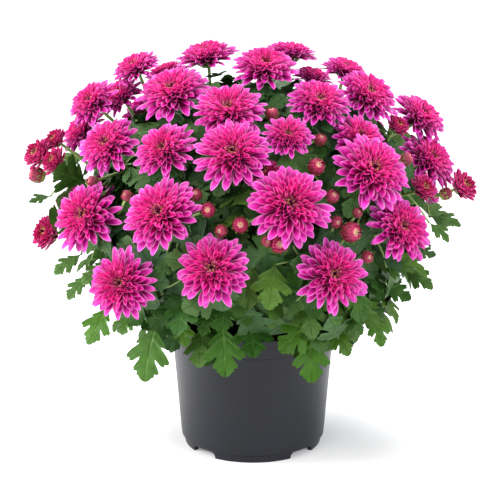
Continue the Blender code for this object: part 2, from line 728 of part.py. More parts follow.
def grow_leaves(shoots, stems, obstacles, pieces):
    """Adds each leaf to its plant in the first of its poses where the blade crosses nothing but its own stem."""
    blades = []
    stalks = []
    for tries, grows_on in plan_leaves(shoots):
        for leaf in tries:
            blade = leaf_mesh(leaf)
            made = [blade]
            clear = clear_of(blade, obstacles + blades + stalks)
            clear = clear and clear_of(blade, [tree for k, (_, tree) in enumerate(stems) if k != grows_on])
            if grows_on is None:
                made.append(stalk_mesh(leaf, shoots))
                others = [tree for plant, tree in stems if plant != leaf["plant"]]
                clear = clear and clear_of(made[1], obstacles + blades + stalks + others)
            if clear:
                pieces[leaf["plant"]] += made
                blades.append(tree_of(blade))
                stalks += [tree_of(bm) for bm in made[1:]]
                break
            for bm in made:
                bm.free()


def grow_plants(blooms, obstacles):
    """The pieces of each plant: its main stem, flower stems, buds and leaves."""
    shoots = plan_shoots(blooms, obstacles)
    pieces = {plant: [main_stem(plant)] for plant in range(len(PLANTS))}
    stems = []
    for shoot in shoots:
        pieces[shoot["plant"]].append(shoot["mesh"])
        stems.append((shoot["plant"], shoot["tree"]))
    grow_buds(shoots, stems, obstacles, pieces)
    grow_leaves(shoots, stems, obstacles, pieces)
    return pieces


def plan_leaves(shoots):
    """Every leaf as a list of poses to try in turn, and the number of the flower stem it grows on, if it is one."""
    for number, row in enumerate(FRONT_LEAVES):
        yield [hanging_leaf(row, number, attempt) for attempt in range(ATTEMPTS)], None
    for number in range(SKIRT_LEAVES):
        yield [skirt_leaf(number, attempt) for attempt in range(ATTEMPTS)], None
    for place, step in SHOOT_LEAF_PLACES:
        for number in range(0, len(shoots), step):
            yield [shoot_leaf(shoots[number], number, place, attempt) for attempt in range(ATTEMPTS)], number


def main():
    for leftover in list(bpy.data.objects):
        bpy.data.objects.remove(leftover)
    plastic = colour("pot_plastic", (0.035, 0.037, 0.045), 0.5)
    peat = colour("peat", (0.03, 0.02, 0.014), 0.95)
    green = colour("foliage", (0.06, 0.16, 0.03), 0.5)
    petals = colour("petals", (0.62, 0.02, 0.30), 0.5)
    pot = make_pot(plastic)
    soil = make_soil(peat)
    blooms = list(settle(plan_blooms()))
    obstacles = [tree_of(evaluated(placed)) for placed in (pot, soil)]
    for number, bloom in enumerate(blooms):
        bm = bloom_mesh(bloom["kind"], bloom["radius"], facing(bloom["centre"], bloom["axis"], bloom["spin"]))
        obstacles.append(tree_of(bm))
        add_object(f"bloom_{number + 1:02d}", bm, petals)
    for plant, pieces in grow_plants(blooms, obstacles).items():
        joined(f"plant_{PLANTS[plant]}", pieces, green)


main()
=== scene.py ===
# %% [markdown]
# # A pot chrysanthemum in a dark nursery pot
#
# A garden centre raises this plant from five rooted cuttings set round one 17 cm pot. Each cutting is
# pinched, branches low down, and ends in a dome of double magenta blooms over lobed green leaves. The
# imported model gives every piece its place: this file dresses it with fine petals, toothed leaves, stems,
# buds, soil and a smooth pot, and then lights it softly over a pale floor.

# %% Frame
import math
import random

import bmesh
import bpy
from mathutils import Matrix, Vector
from mathutils.bvhtree import BVHTree


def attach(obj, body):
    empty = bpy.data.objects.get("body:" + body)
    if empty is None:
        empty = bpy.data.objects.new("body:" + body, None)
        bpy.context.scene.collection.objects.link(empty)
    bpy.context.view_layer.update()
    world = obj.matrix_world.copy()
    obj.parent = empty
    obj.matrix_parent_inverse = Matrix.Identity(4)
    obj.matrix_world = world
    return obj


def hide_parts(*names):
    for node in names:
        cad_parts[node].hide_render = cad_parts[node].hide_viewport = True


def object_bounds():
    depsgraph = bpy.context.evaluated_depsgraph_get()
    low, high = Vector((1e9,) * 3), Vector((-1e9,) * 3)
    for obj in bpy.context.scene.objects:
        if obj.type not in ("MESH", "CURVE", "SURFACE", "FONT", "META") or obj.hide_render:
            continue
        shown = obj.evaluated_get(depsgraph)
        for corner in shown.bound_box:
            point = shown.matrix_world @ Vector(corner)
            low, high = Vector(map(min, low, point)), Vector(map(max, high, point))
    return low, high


MM = 0.001
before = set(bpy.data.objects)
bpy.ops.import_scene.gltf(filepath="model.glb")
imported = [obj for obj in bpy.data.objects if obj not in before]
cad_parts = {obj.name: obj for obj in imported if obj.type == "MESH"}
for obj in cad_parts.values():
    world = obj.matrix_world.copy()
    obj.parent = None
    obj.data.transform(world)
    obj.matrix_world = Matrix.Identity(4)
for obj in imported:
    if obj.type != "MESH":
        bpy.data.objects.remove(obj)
CAD_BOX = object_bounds()
print("frame:", len(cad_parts), "nodes, box in mm", [[round(1000 * v) for v in corner] for corner in CAD_BOX])

# %% [markdown]
# The viewer stands 1.4 m off and a little above the blooms, looking down by 14 degrees. A long lens keeps
# the dome from bulging. The picture is 500 by 499 points, with the pot's axis just right of its middle, so
# the lens follows from how many points one radian of view covers, and a small shift does the rest.

# %% Camera
PICTURE_WIDTH, PICTURE_HEIGHT = 500, 499
PICTURE_SCALE = 1434
PICTURE_AXIS = Vector((252.8, 249.5))
VIEWER = Vector((0, -1.40, 0.55))
VIEWER_PITCH = math.radians(14)

studio_camera = bpy.data.cameras.new("studio_camera")
studio_camera.sensor_width = 36
studio_camera.lens = PICTURE_SCALE * studio_camera.sensor_width / PICTURE_WIDTH
studio_camera.shift_x = (PICTURE_WIDTH / 2 - PICTURE_AXIS.x) / PICTURE_WIDTH
camera = bpy.data.objects.new("studio_camera", studio_camera)
camera.location = VIEWER
camera.rotation_euler = (math.radians(90) - VIEWER_PITCH, 0, 0)
bpy.context.scene.collection.objects.link(camera)
bpy.context.scene.camera = camera
print("camera: lens", round(studio_camera.lens, 1), "mm")

# %% [markdown]
# Three small helpers serve the whole file. Colours are written as the sRGB hex values that a paint program
# shows, while Blender's shaders work in linear light, so one function turns the first into the second.
# Another adds a shader node with its settings and links in one call. The last puts a finished bmesh in
# the scene as a piece of the object, at the origin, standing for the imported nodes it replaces.

# %% Helpers
def linear(text):
    """An sRGB hex colour as linear red, green, blue and alpha."""
    channels = [int(text[i:i + 2], 16) / 255 for i in (1, 3, 5)]
    return [c / 12.92 if c <= 0.04045 else ((c + 0.055) / 1.055) ** 2.4 for c in channels] + [1]


def node(tree, kind, inputs=(), stops=(), **settings):
    """Adds a node. Settings are its own properties, and each input is a value or the output that feeds it."""
    made = tree.nodes.new(kind)
    for name, value in settings.items():
        setattr(made, name, value)
    for key, value in dict(inputs).items():
        if isinstance(value, bpy.types.NodeSocket):
            tree.links.new(value, made.inputs[key])
        else:
            made.inputs[key].default_value = value
    for k, (place, colour) in enumerate(stops):
        stop = made.color_ramp.elements[k] if k < 2 else made.color_ramp.elements.new(place)
        stop.position, stop.color = place, linear(colour)
    return made


def new_material(name):
    """An empty material with its node tree and a Principled shader wired to the output."""
    material = bpy.data.materials.new(name)
    material.use_nodes = True
    return material, material.node_tree, material.node_tree.nodes["Principled BSDF"]


def add_piece(name, bm, materials, nodes, smooth=True):
    """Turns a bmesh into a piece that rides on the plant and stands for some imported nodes."""
    mesh = bpy.data.meshes.new(name)
    bm.to_mesh(mesh)
    bm.free()
    for material in materials:
        mesh.materials.append(material)
    if smooth:
        mesh.shade_smooth()
    piece = bpy.data.objects.new(name, mesh)
    bpy.context.scene.collection.objects.link(piece)
    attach(piece, "root")
    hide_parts(*nodes)
    return piece


def triangles(piece):
    """How many triangles a piece has."""
    return sum(len(face.vertices) - 2 for face in piece.data.polygons)


# %% [markdown]
# The pot is injection moulded polypropylene, only 1.6 mm thick. A turned profile gives it its stepped rim,
# its gently tapering wall and the raised floor behind the foot ring. Spinning the profile is how a maker
# would think of it, and 128 steps leave no corners to see. The four low arches in the foot, which let
# water run out, and the drain holes are cut with a Boolean, as they are in the mould.

# %% Pot shape
POT_HEIGHT = 131 * MM
RIM_RADIUS = 85 * MM
RIM_BAND = 19 * MM
WALL_TOP_RADIUS = 81.6 * MM
WALL_FOOT_RADIUS = 73.6 * MM
WALL = 1.6 * MM
FOOT_RADIUS = 70 * MM
FOOT_WIDTH = 5 * MM
FOOT_HEIGHT = 8 * MM
FLOOR_THICKNESS = 2 * MM
POT_STEPS = 128


def turned(profile, steps):
    """A bmesh turned round the Z axis from a profile of (radius, height) points that ends on the axis."""
    bm = bmesh.new()
    points = [bm.verts.new((radius, 0, height)) for radius, height in profile]
    edges = [bm.edges.new(pair) for pair in zip(points, points[1:])]
    bmesh.ops.spin(
        bm, geom=points + edges, cent=(0, 0, 0), axis=(0, 0, 1), angle=math.tau, steps=steps, use_merge=True
    )
    bmesh.ops.remove_doubles(bm, verts=bm.verts, dist=0.01 * MM)
    bmesh.ops.recalc_face_normals(bm, faces=bm.faces)
    return bm


step = POT_HEIGHT - RIM_BAND
pot_profile = (
    (0, FOOT_HEIGHT - FLOOR_THICKNESS),
    (FOOT_RADIUS - FOOT_WIDTH - 1.5 * MM, FOOT_HEIGHT - FLOOR_THICKNESS),
    (FOOT_RADIUS - FOOT_WIDTH, 0.3 * MM), (FOOT_RADIUS - FOOT_WIDTH + 0.3 * MM, 0),
    (FOOT_RADIUS - 0.4 * MM, 0), (FOOT_RADIUS, 0.4 * MM),
    (FOOT_RADIUS + 0.8 * MM, FOOT_HEIGHT - 1 * MM),
    (WALL_FOOT_RADIUS - 0.9 * MM, FOOT_HEIGHT + 0.4 * MM), (WALL_FOOT_RADIUS - 0.3 * MM, FOOT_HEIGHT + 0.9 * MM),
    (WALL_FOOT_RADIUS, FOOT_HEIGHT + 4 * MM), (WALL_FOOT_RADIUS + 0.4 * MM, FOOT_HEIGHT + 8 * MM),
    (WALL_TOP_RADIUS, step - 1.8 * MM), (WALL_TOP_RADIUS + 0.2 * MM, step - 1.0 * MM),
    (RIM_RADIUS - 1.6 * MM, step), (RIM_RADIUS - 1.2 * MM, step + 0.5 * MM),
    (RIM_RADIUS - 1.1 * MM, step + 2 * MM),
    (RIM_RADIUS - 0.3 * MM, POT_HEIGHT - 2.4 * MM), (RIM_RADIUS, POT_HEIGHT - 1.8 * MM),
    (RIM_RADIUS, POT_HEIGHT - 0.6 * MM), (RIM_RADIUS - 0.5 * MM, POT_HEIGHT),
    (RIM_RADIUS - WALL + 0.3 * MM, POT_HEIGHT), (RIM_RADIUS - WALL, POT_HEIGHT - 0.3 * MM),
    (RIM_RADIUS - 1.2 * MM - WALL, step + 1.5 * MM),
    (WALL_TOP_RADIUS - WALL, step),
    (WALL_FOOT_RADIUS - WALL - 0.8 * MM, FOOT_HEIGHT + 3 * MM),
    (WALL_FOOT_RADIUS - 2 * WALL, FOOT_HEIGHT),
    (0, FOOT_HEIGHT),
)
pot_mesh = turned(pot_profile, POT_STEPS)
print("pot: profile of", len(pot_profile), "points,", len(pot_mesh.faces), "faces")

# %% [markdown]
# The cores that a mould maker would set in the tool for the foot's arches and the drain holes are made as one
# bmesh. Each arch's core is a cube with its long edges bevelled round, so the arch ends in soft corners.

# %% Pot notches and drain holes
NOTCHES = 4
NOTCH_CORNER = 4.5 * MM
NOTCH_ANGLE = math.radians(25)
NOTCH_HEIGHT = 6.5 * MM
DRAIN_RADIUS = 6 * MM
DRAIN_CIRCLE = 46 * MM

cutter_mesh = bmesh.new()
for index in range(NOTCHES):
    azimuth = math.tau * (index + 0.5) / NOTCHES
    size = (24 * MM, 2 * FOOT_RADIUS * math.sin(NOTCH_ANGLE / 2), 2 * NOTCH_HEIGHT, 1)
    place = Matrix.Rotation(azimuth, 4, "Z") @ Matrix.Translation((FOOT_RADIUS, 0, 0))
    block = bmesh.ops.create_cube(cutter_mesh, size=1, matrix=place @ Matrix.Diagonal(size))
    outward = Vector((math.cos(azimuth), math.sin(azimuth), 0))
    long_edges = {e for v in block["verts"] for e in v.link_edges if (e.verts[0].co - e.verts[1].co).cross(outward).length < 0.01 * MM}
    bmesh.ops.bevel(
        cutter_mesh, geom=list(long_edges), offset=NOTCH_CORNER, affect="EDGES", segments=5, profile=0.5, material=-1
    )
    drain = math.tau * index / NOTCHES
    bmesh.ops.create_cone(
        cutter_mesh, cap_ends=True, segments=24, radius1=DRAIN_RADIUS, radius2=DRAIN_RADIUS, depth=4 * FOOT_HEIGHT,
        matrix=Matrix.Translation((DRAIN_CIRCLE * math.cos(drain), DRAIN_CIRCLE * math.sin(drain), 0)),
    )
cutter_data = bpy.data.meshes.new("mould_cores")
cutter_mesh.to_mesh(cutter_data)
cutter_mesh.free()
cutter = bpy.data.objects.new("mould_cores", cutter_data)
bpy.context.scene.collection.objects.link(cutter)

# %% [markdown]
# Moulded polypropylene in this colour is an anthracite grey with a faint blue in it. The tool's surface is
# spark eroded, which leaves a grain of about a third of a millimetre: that is drawn a little coarser here, so
# that it breaks up the highlight. The plastic is neither shiny nor flat, so a broad soft light shows on
# its side. Dust and water marks change the roughness in faint patches of a few centimetres.

# %% Pot material
POT_ANTHRACITE, POT_WORN = "#101218", "#181a22"
POT_GRAIN = 0.6 * MM

pot_plastic, tree, shader = new_material("moulded_polypropylene")
place = node(tree, "ShaderNodeTexCoord").outputs["Object"]
marks = node(tree, "ShaderNodeTexNoise", {"Vector": place, "Scale": 1 / (30 * MM), "Detail": 4, "Roughness": 0.6})
grain = node(tree, "ShaderNodeTexNoise", {"Vector": place, "Scale": 1 / POT_GRAIN, "Detail": 2})
tint = node(
    tree, "ShaderNodeMix", {"Factor": marks.outputs["Fac"], "A": linear(POT_ANTHRACITE), "B": linear(POT_WORN)},
    data_type="RGBA",
)
dull = node(
    tree, "ShaderNodeMapRange", {"Value": marks.outputs["Fac"], "To Min": 0.34, "To Max": 0.46},
)
relief = node(tree, "ShaderNodeBump", {"Height": grain.outputs["Fac"], "Strength": 0.25, "Distance": 0.1 * MM})
tree.links.new(tint.outputs["Result"], shader.inputs["Base Color"])
tree.links.new(dull.outputs["Result"], shader.inputs["Roughness"])
tree.links.new(relief.outputs["Normal"], shader.inputs["Normal"])
shader.inputs["IOR"].default_value = 1.49
shader.inputs["Specular IOR Level"].default_value = 0.32

# %% Pot piece
pot = add_piece("pot_shell", pot_mesh, [pot_plastic], ["pot"])
cut = pot.modifiers.new("cut", "BOOLEAN")
cut.object = cutter
cut.operation = "DIFFERENCE"
cut_mesh = bmesh.new()
cut_mesh.from_object(pot, bpy.context.evaluated_depsgraph_get())
pot.modifiers.clear()
cut_mesh.to_mesh(pot.data)
cut_mesh.free()
bpy.data.objects.remove(cutter)
pot.data.shade_smooth()
pot.data.set_sharp_from_angle(angle=math.radians(30))
print("pot:", triangles(pot), "triangles, box in mm", [round(1000 * v) for v in pot.dimensions])

# %% [markdown]
# The soil is peat with a little bark and perlite, filled to about 20 mm under the rim. From the front it
# hardly shows, but from above and behind it does. A disc of rings is raised by noise to give it lumps, and
# crumbs lie on it. Peat is very dark when damp and has no shine at all.

# %% Soil
SOIL_LEVEL = 108 * MM
SOIL_CROWN = 4 * MM
SOIL_RADIUS = 79 * MM
PEAT_DARK, PEAT_LIGHT, PERLITE = "#1f1712", "#4b3a2c", "#cfc8bb"

peat, tree, shader = new_material("damp_peat")
place = node(tree, "ShaderNodeTexCoord").outputs["Object"]
clods = node(tree, "ShaderNodeTexNoise", {"Vector": place, "Scale": 1 / (4 * MM), "Detail": 6, "Roughness": 0.7})
tint = node(tree, "ShaderNodeValToRGB", {"Fac": clods.outputs["Fac"]}, stops=((0.35, PEAT_DARK), (0.7, PEAT_LIGHT)))
relief = node(tree, "ShaderNodeBump", {"Height": clods.outputs["Fac"], "Strength": 0.8, "Distance": 1 * MM})
tree.links.new(tint.outputs["Color"], shader.inputs["Base Color"])
tree.links.new(relief.outputs["Normal"], shader.inputs["Normal"])
shader.inputs["Roughness"].default_value = 0.95

perlite, tree, shader = new_material("expanded_perlite")
place = node(tree, "ShaderNodeTexCoord").outputs["Object"]
pores = node(tree, "ShaderNodeTexNoise", {"Vector": place, "Scale": 1 / (0.8 * MM), "Detail": 3})
tint = node(tree, "ShaderNodeValToRGB", {"Fac": pores.outputs["Fac"]}, stops=((0.3, "#9a9184"), (0.6, PERLITE)))
tree.links.new(tint.outputs["Color"], shader.inputs["Base Color"])
shader.inputs["Roughness"].default_value = 0.9

soil_mesh = turned(
    (
        (0, FOOT_HEIGHT + 0.4 * MM), (69 * MM, FOOT_HEIGHT + 0.4 * MM), (70 * MM, FOOT_HEIGHT + 4 * MM),
        (SOIL_RADIUS - 0.6 * MM, SOIL_LEVEL - 1 * MM), (SOIL_RADIUS - 1.4 * MM, SOIL_LEVEL),
        *((SOIL_RADIUS * (1 - k / 16), SOIL_LEVEL + SOIL_CROWN * (k / 16)) for k in range(1, 16)),
        (0, SOIL_LEVEL + SOIL_CROWN),
    ), 64,
)
draw = random.Random(5)
for v in soil_mesh.verts:
    if v.co.z >= SOIL_LEVEL - 0.1 * MM:
        v.co.z += draw.uniform(-1.2, 1.6) * MM
for number in range(420):
    radius, azimuth = 76 * MM * math.sqrt(draw.random()), draw.uniform(0, math.tau)
    size = draw.uniform(0.7, 2.4) * MM
    height = SOIL_LEVEL + SOIL_CROWN * (1 - radius / SOIL_RADIUS)
    spot = Matrix.Translation((radius * math.cos(azimuth), radius * math.sin(azimuth), height))
    turn = Matrix.Rotation(draw.uniform(0, math.tau), 4, Vector((draw.random(), draw.random(), draw.random())))
    squeeze = Matrix.Diagonal((size, size * draw.uniform(0.5, 1), size * draw.uniform(0.4, 0.8), 1))
    crumb = bmesh.ops.create_icosphere(soil_mesh, subdivisions=1, radius=1, matrix=spot @ turn @ squeeze)
    if number % 9 == 0:
        for face in {face for v in crumb["verts"] for face in v.link_faces}:
            face.material_index = 1
soil = add_piece("soil_surface", soil_mesh, [peat, perlite], ["soil"], smooth=False)
print("soil:", triangles(soil), "triangles")

# %% [markdown]
# The plant was planned on the picture plane: each bloom, bud and front leaf was placed where the front
# view shows it, and a ray from the viewer finds its place on the dome. The plan is repeated here so that the
# fine pieces grow just where the imported ones stand. The blooms fill a slightly flattened dome, which is how
# a pinched and well turned plant grows.

# %% Dome and picture rays
DOME_RADIUS = 186 * MM
DOME_HALF_HEIGHT = 166 * MM
DOME_CENTRE = Vector((0, 0, 222 * MM))
TURN_TO_VIEWER = 0.4
GOLDEN_ANGLE = math.radians(137.5)


def picture_ray(across, down):
    """The direction in which the viewer sees a picture point."""
    forward = Vector((0, math.cos(VIEWER_PITCH), -math.sin(VIEWER_PITCH)))
    up = Vector((0, math.sin(VIEWER_PITCH), math.cos(VIEWER_PITCH)))
    offset = Vector((1, 0, 0)) * (across - PICTURE_AXIS.x) + up * (PICTURE_AXIS.y - down)
    return (forward + offset / PICTURE_SCALE).normalized()


def on_dome(across, down, lift):
    """Where the ray of a picture point meets the dome, raised by lift, or passes nearest to it."""
    ray = picture_ray(across, down)
    radii = Vector((DOME_RADIUS + lift, DOME_RADIUS + lift, DOME_HALF_HEIGHT + lift))
    start = Vector((VIEWER - DOME_CENTRE)[i] / radii[i] for i in range(3))
    way = Vector(ray[i] / radii[i] for i in range(3))
    half_b = start.dot(way) / way.length_squared
    inside = half_b**2 - (start.length_squared - 1) / way.length_squared
    return VIEWER + ray * (-half_b - math.sqrt(max(inside, 0)))


def at_depth(across, down, depth):
    """The point of a picture ray that lies depth millimetres in front of the pot's axis."""
    ray = picture_ray(across, down)
    return VIEWER + ray * ((-depth * MM - VIEWER.y) / ray.y)


def dome_normal(point):
    """The direction out of the dome at a point."""
    offset = point - DOME_CENTRE
    flat = DOME_RADIUS**2
    return Vector((offset.x / flat, offset.y / flat, offset.z / DOME_HALF_HEIGHT**2)).normalized()


def leaning(axis, seed, most=7):
    """The axis, tilted by a few seeded degrees."""
    draw = random.Random(seed)
    lean = Vector([draw.uniform(-1, 1) for _ in range(3)]) * math.tan(math.radians(most))
    return (axis + lean).normalized()


def facing(origin, axis, spin=0.0):
    """A matrix that stands a shape's Z axis along the given axis at the origin."""
    turn = axis.to_track_quat("Z", "Y").to_matrix().to_4x4()
    return Matrix.Translation(origin) @ turn @ Matrix.Rotation(spin, 4, "Z")


# %% Blooms on the picture
# Front blooms: across, down, diameter in mm, and how far in mm the bloom stands above the dome and further back
OPEN_BLOOMS = (
    (87, 217, 65, 0, 0), (162, 215, 74, 4, 0), (109, 146, 58, 4, 0), (165, 151, 61, 0, 0),
    (233, 155, 72, 4, 0), (228, 112, 70, 0, 0), (173, 94, 72, 6, 0), (121, 97, 50, 0, 25),
    (84, 131, 50, -2, 18), (93, 103, 50, 0, -10), (139, 74, 50, 0, 20), (207, 58, 64, 4, 8),
    (265, 69, 65, 6, 4), (290, 55, 58, 0, 50), (345, 72, 50, 0, 10), (367, 96, 62, 6, 0),
    (319, 104, 62, 0, 0), (419, 118, 57, 2, 15), (288, 137, 47, 0, 0), (360, 137, 54, -4, 0),
    (370, 172, 75, 6, 0), (435, 156, 61, 2, 0), (289, 206, 78, 6, 0), (399, 229, 63, 0, 0),
    (332, 276, 69, 0, 0), (213, 270, 70, 0, 0), (122, 284, 64, 0, 0), (166, 74, 46, -6, 45),
    (312, 78, 46, -8, 55),
)
# Half-open blooms, in the same units
YOUNG_BLOOMS = (
    (460, 188, 38, 6, 0), (51, 234, 42, 4, 0), (41, 156, 38, 8, 0), (57, 163, 34, 4, -25),
    (55, 140, 30, 10, 0), (396, 128, 28, 0, 0), (421, 190, 32, -4, 0), (263, 172, 34, -8, 0),
)
# Rings of blooms that the front view doesn't show: height angle in degrees, and how many would fill the ring
BACK_RINGS = ((8, 15), (36, 12), (62, 6))
BACK_DIAMETER = 68 * MM


def bloom_plan(kind, centre, axis, radius, number):
    """What is known of one bloom. Each is turned about its axis by a golden angle more than the last."""
    return {"kind": kind, "centre": centre, "axis": axis, "radius": radius, "spin": number * GOLDEN_ANGLE}


blooms = []
for kind, table in (("open", OPEN_BLOOMS), ("young", YOUNG_BLOOMS)):
    for across, down, diameter, lift, back in table:
        ray = picture_ray(across, down)
        centre = on_dome(across, down, lift * MM) + ray * back * MM
        axis = leaning(dome_normal(centre) - ray * TURN_TO_VIEWER, len(blooms))
        blooms.append(bloom_plan(kind, centre, axis, diameter * MM / 2, len(blooms)))
for ring, (height_angle, count) in enumerate(BACK_RINGS):
    for index in range(count):
        draw = random.Random(100 * ring + index)
        azimuth = math.tau * (index + 0.5 * (ring % 2)) / count + math.radians(draw.uniform(-4, 4))
        height = math.radians(height_angle + draw.uniform(-4, 4))
        radius = BACK_DIAMETER * draw.uniform(0.88, 1.06) / 2
        centre = DOME_CENTRE + Vector((
            DOME_RADIUS * math.cos(height) * math.cos(azimuth),
            DOME_RADIUS * math.cos(height) * math.sin(azimuth),
            DOME_HALF_HEIGHT * math.sin(height),
        ))
        if any((centre - b["centre"]).length < 0.86 * (radius + b["radius"]) for b in blooms):
            continue
        axis = leaning(dome_normal(centre), len(blooms))
        blooms.append(bloom_plan("open", centre, axis, radius, len(blooms)))
print("blooms:", len(blooms), "planned")

# %% [markdown]
# Where blooms crowd each other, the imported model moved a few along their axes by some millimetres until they
# cleared. Each bloom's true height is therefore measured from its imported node: its lowest ring lies a known
# share of the radius under its centre.

# %% Bloom places from the frame
BLOOM_FOOT = {"open": -0.18, "young": -0.20}


def node_points(name):
    """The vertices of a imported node."""
    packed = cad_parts[name]
    return [packed.matrix_world @ v.co for v in packed.data.vertices]


def node_tree_of(name):
    """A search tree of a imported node's faces."""
    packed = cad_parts[name]
    return BVHTree.FromPolygons(node_points(name), [tuple(face.vertices) for face in packed.data.polygons])


moved = []
for number, bloom in enumerate(blooms):
    bloom["node"] = f"bloom_{number + 1:02d}"
    lowest = min(point.dot(bloom["axis"]) for point in node_points(bloom["node"]))
    shift = lowest - bloom["centre"].dot(bloom["axis"]) - BLOOM_FOOT[bloom["kind"]] * bloom["radius"]
    bloom["centre"] += bloom["axis"] * shift
    if abs(shift) > 0.5 * MM:
        moved.append((bloom["node"], round(1000 * shift)))
bloom_trees = [node_tree_of(bloom["node"]) for bloom in blooms]
print("moved by crowding, in mm:", moved)

# %% [markdown]
# Each bloom is a composite head of ray petals, all grown from one flat disc. Real ones open from the
# outside in: the outer petals are long, broad and nearly flat, the next ones are shorter and stand higher, and
# the youngest are narrow spoons that still curl over the eye. The stages are given as one table, from the
# outermost petal to the innermost, in shares of the bloom's radius. Successive petals are a golden angle apart.

# %% Petal stages
# Place in the order, then root radius and height, middle radius and height, tip radius and height, width and cup
OPEN_STAGES = (
    (0.00, 0.13, -0.12, 0.62, -0.01, 1.06, -0.08, 0.230, 0.18),
    (0.11, 0.12, -0.10, 0.60, 0.05, 1.01, 0.03, 0.235, 0.22),
    (0.22, 0.11, -0.08, 0.56, 0.09, 0.90, 0.15, 0.225, 0.28),
    (0.36, 0.10, -0.05, 0.50, 0.15, 0.78, 0.25, 0.205, 0.34),
    (0.50, 0.09, -0.02, 0.42, 0.20, 0.65, 0.33, 0.185, 0.40),
    (0.64, 0.08, 0.00, 0.34, 0.23, 0.51, 0.38, 0.160, 0.44),
    (0.78, 0.07, 0.02, 0.27, 0.26, 0.37, 0.40, 0.135, 0.48),
    (0.90, 0.05, 0.03, 0.20, 0.27, 0.22, 0.37, 0.100, 0.54),
    (1.00, 0.03, 0.04, 0.12, 0.20, 0.06, 0.25, 0.065, 0.60),
)
YOUNG_STAGES = (
    (0.00, 0.12, -0.16, 0.64, -0.02, 1.00, 0.26, 0.300, 0.24),
    (0.20, 0.11, -0.12, 0.60, 0.10, 0.88, 0.42, 0.290, 0.32),
    (0.42, 0.10, -0.08, 0.52, 0.24, 0.70, 0.56, 0.265, 0.38),
    (0.64, 0.08, -0.04, 0.42, 0.38, 0.50, 0.62, 0.225, 0.42),
    (0.84, 0.06, 0.00, 0.31, 0.46, 0.29, 0.62, 0.170, 0.46),
    (1.00, 0.04, 0.02, 0.18, 0.44, 0.08, 0.52, 0.120, 0.50),
)
PETAL_COUNT = {"open": 170, "young": 92}
# Along and across for half a petal, in shares of its length and of its half width
PETAL_OUTLINE = (
    (0.00, 0.34), (0.20, 0.52), (0.40, 0.76), (0.57, 0.95), (0.71, 1.00), (0.84, 0.86), (0.94, 0.54), (1.00, 0.10),
)


def between(rows, place):
    """The row of a table at a place between its rows."""
    for low, high in zip(rows, rows[1:]):
        if place <= high[0]:
            share = (place - low[0]) / (high[0] - low[0])
            return [a + (b - a) * share for a, b in zip(low[1:], high[1:])]
    return list(rows[-1][1:])


# %% [markdown]
# One petal is a small grid sheet. Its rows follow a bent centre line from the disc to the tip, its width follows
# the outline table, and its edges are raised into a shallow trough with a faint keel, as fresh ray petals
# have. The sheet keeps two maps for its colour: where a point lies across and along the petal, and how deep in
# the bloom the petal stands, with a tone of its own.

# %% Petal
def add_petal(bm, maps, place, azimuth, stage, radius, depth, draw):
    """Adds one petal of a bloom to a bmesh, in the bloom's place and at an azimuth about its axis."""
    root_r, root_z, middle_r, middle_z, tip_r, tip_z, width, cup = stage
    tip_r *= draw.uniform(0.88, 1.03)
    tip_z += draw.uniform(-0.05, 0.05)
    width *= draw.uniform(0.88, 1.10)
    roll = draw.uniform(-0.30, 0.30)
    sweep = draw.uniform(-0.09, 0.09)
    ripple, phase = draw.uniform(0.00, 0.10), draw.uniform(0, math.tau)
    tone = draw.random()
    outward = Vector((math.cos(azimuth), math.sin(azimuth), 0))
    aside = Vector((-math.sin(azimuth), math.cos(azimuth), 0))
    grid = bmesh.ops.create_grid(bm, x_segments=len(PETAL_OUTLINE) - 1, y_segments=4, size=0.5)
    petal_map, shade_map = maps
    spots = {}
    for v in grid["verts"]:
        row = round((v.co.x + 0.5) * (len(PETAL_OUTLINE) - 1))
        along, half = PETAL_OUTLINE[row]
        across = 2 * v.co.y
        back, both, ahead = (1 - along) ** 2, 2 * along * (1 - along), along**2
        r = root_r * back + middle_r * both + tip_r * ahead
        z = root_z * back + middle_z * both + tip_z * ahead
        slope = Vector((
            (middle_r - root_r) * (1 - along) + (tip_r - middle_r) * along,
            (middle_z - root_z) * (1 - along) + (tip_z - middle_z) * along,
        )).normalized()
        upward = outward * -slope.y + Vector((0, 0, slope.x))
        level = half * width / 2 * across
        rise = cup * width * (across * across * half - 0.18 * (1 - abs(across)) * half)
        rise += ripple * width * math.sin(phase + 7 * along) * across + roll * level * along
        beside = level * (1 - 0.35 * cup * abs(across)) + sweep * along * along
        v.co = (outward * r + Vector((0, 0, z)) + aside * beside + upward * rise) * radius
        spots[v] = (0.5 + across / 2, along)
    for face in {face for v in grid["verts"] for face in v.link_faces}:
        for loop in face.loops:
            loop[petal_map].uv = spots[loop.vert]
            loop[shade_map].uv = (depth, tone)
    bmesh.ops.transform(bm, matrix=place, verts=grid["verts"])


# %% [markdown]
# The petals' colour comes from anthocyanin in the sap: strongest where the petal is young and thick, so that the
# heart of a bloom is deep crimson, and thinned out to a clear magenta where an old outer petal has stretched. The
# paler lilac edges are partly that stretched petal's own colour and partly a painted highlight on the rolled rim.
# The darker root of each petal is painted shade, where the petal above overlaps it. Fine darker veins run along
# each petal. The cells are domed and give a velvety sheen with little gloss. Light also passes through, which the
# small subsurface share stands for.

# %% Petal material
# The root colours are painted shade where the petals overlap; the edge colours are partly the petals' own paler rims
# and partly a painted highlight.
RAY_SHADED_ROOT, RAY_MIDDLE, RAY_TIP, RAY_EDGE_HIGHLIGHT = "#92045a", "#cc12a0", "#e65ecc", "#ffb8f0"
HEART_SHADED_ROOT, HEART_TIP, HEART_EDGE_HIGHLIGHT = "#b60460", "#f6189c", "#ff82ce"
EYE_ROOT, EYE_TIP, GOLD_TIP = "#5a0014", "#a00a30", "#d8a468"


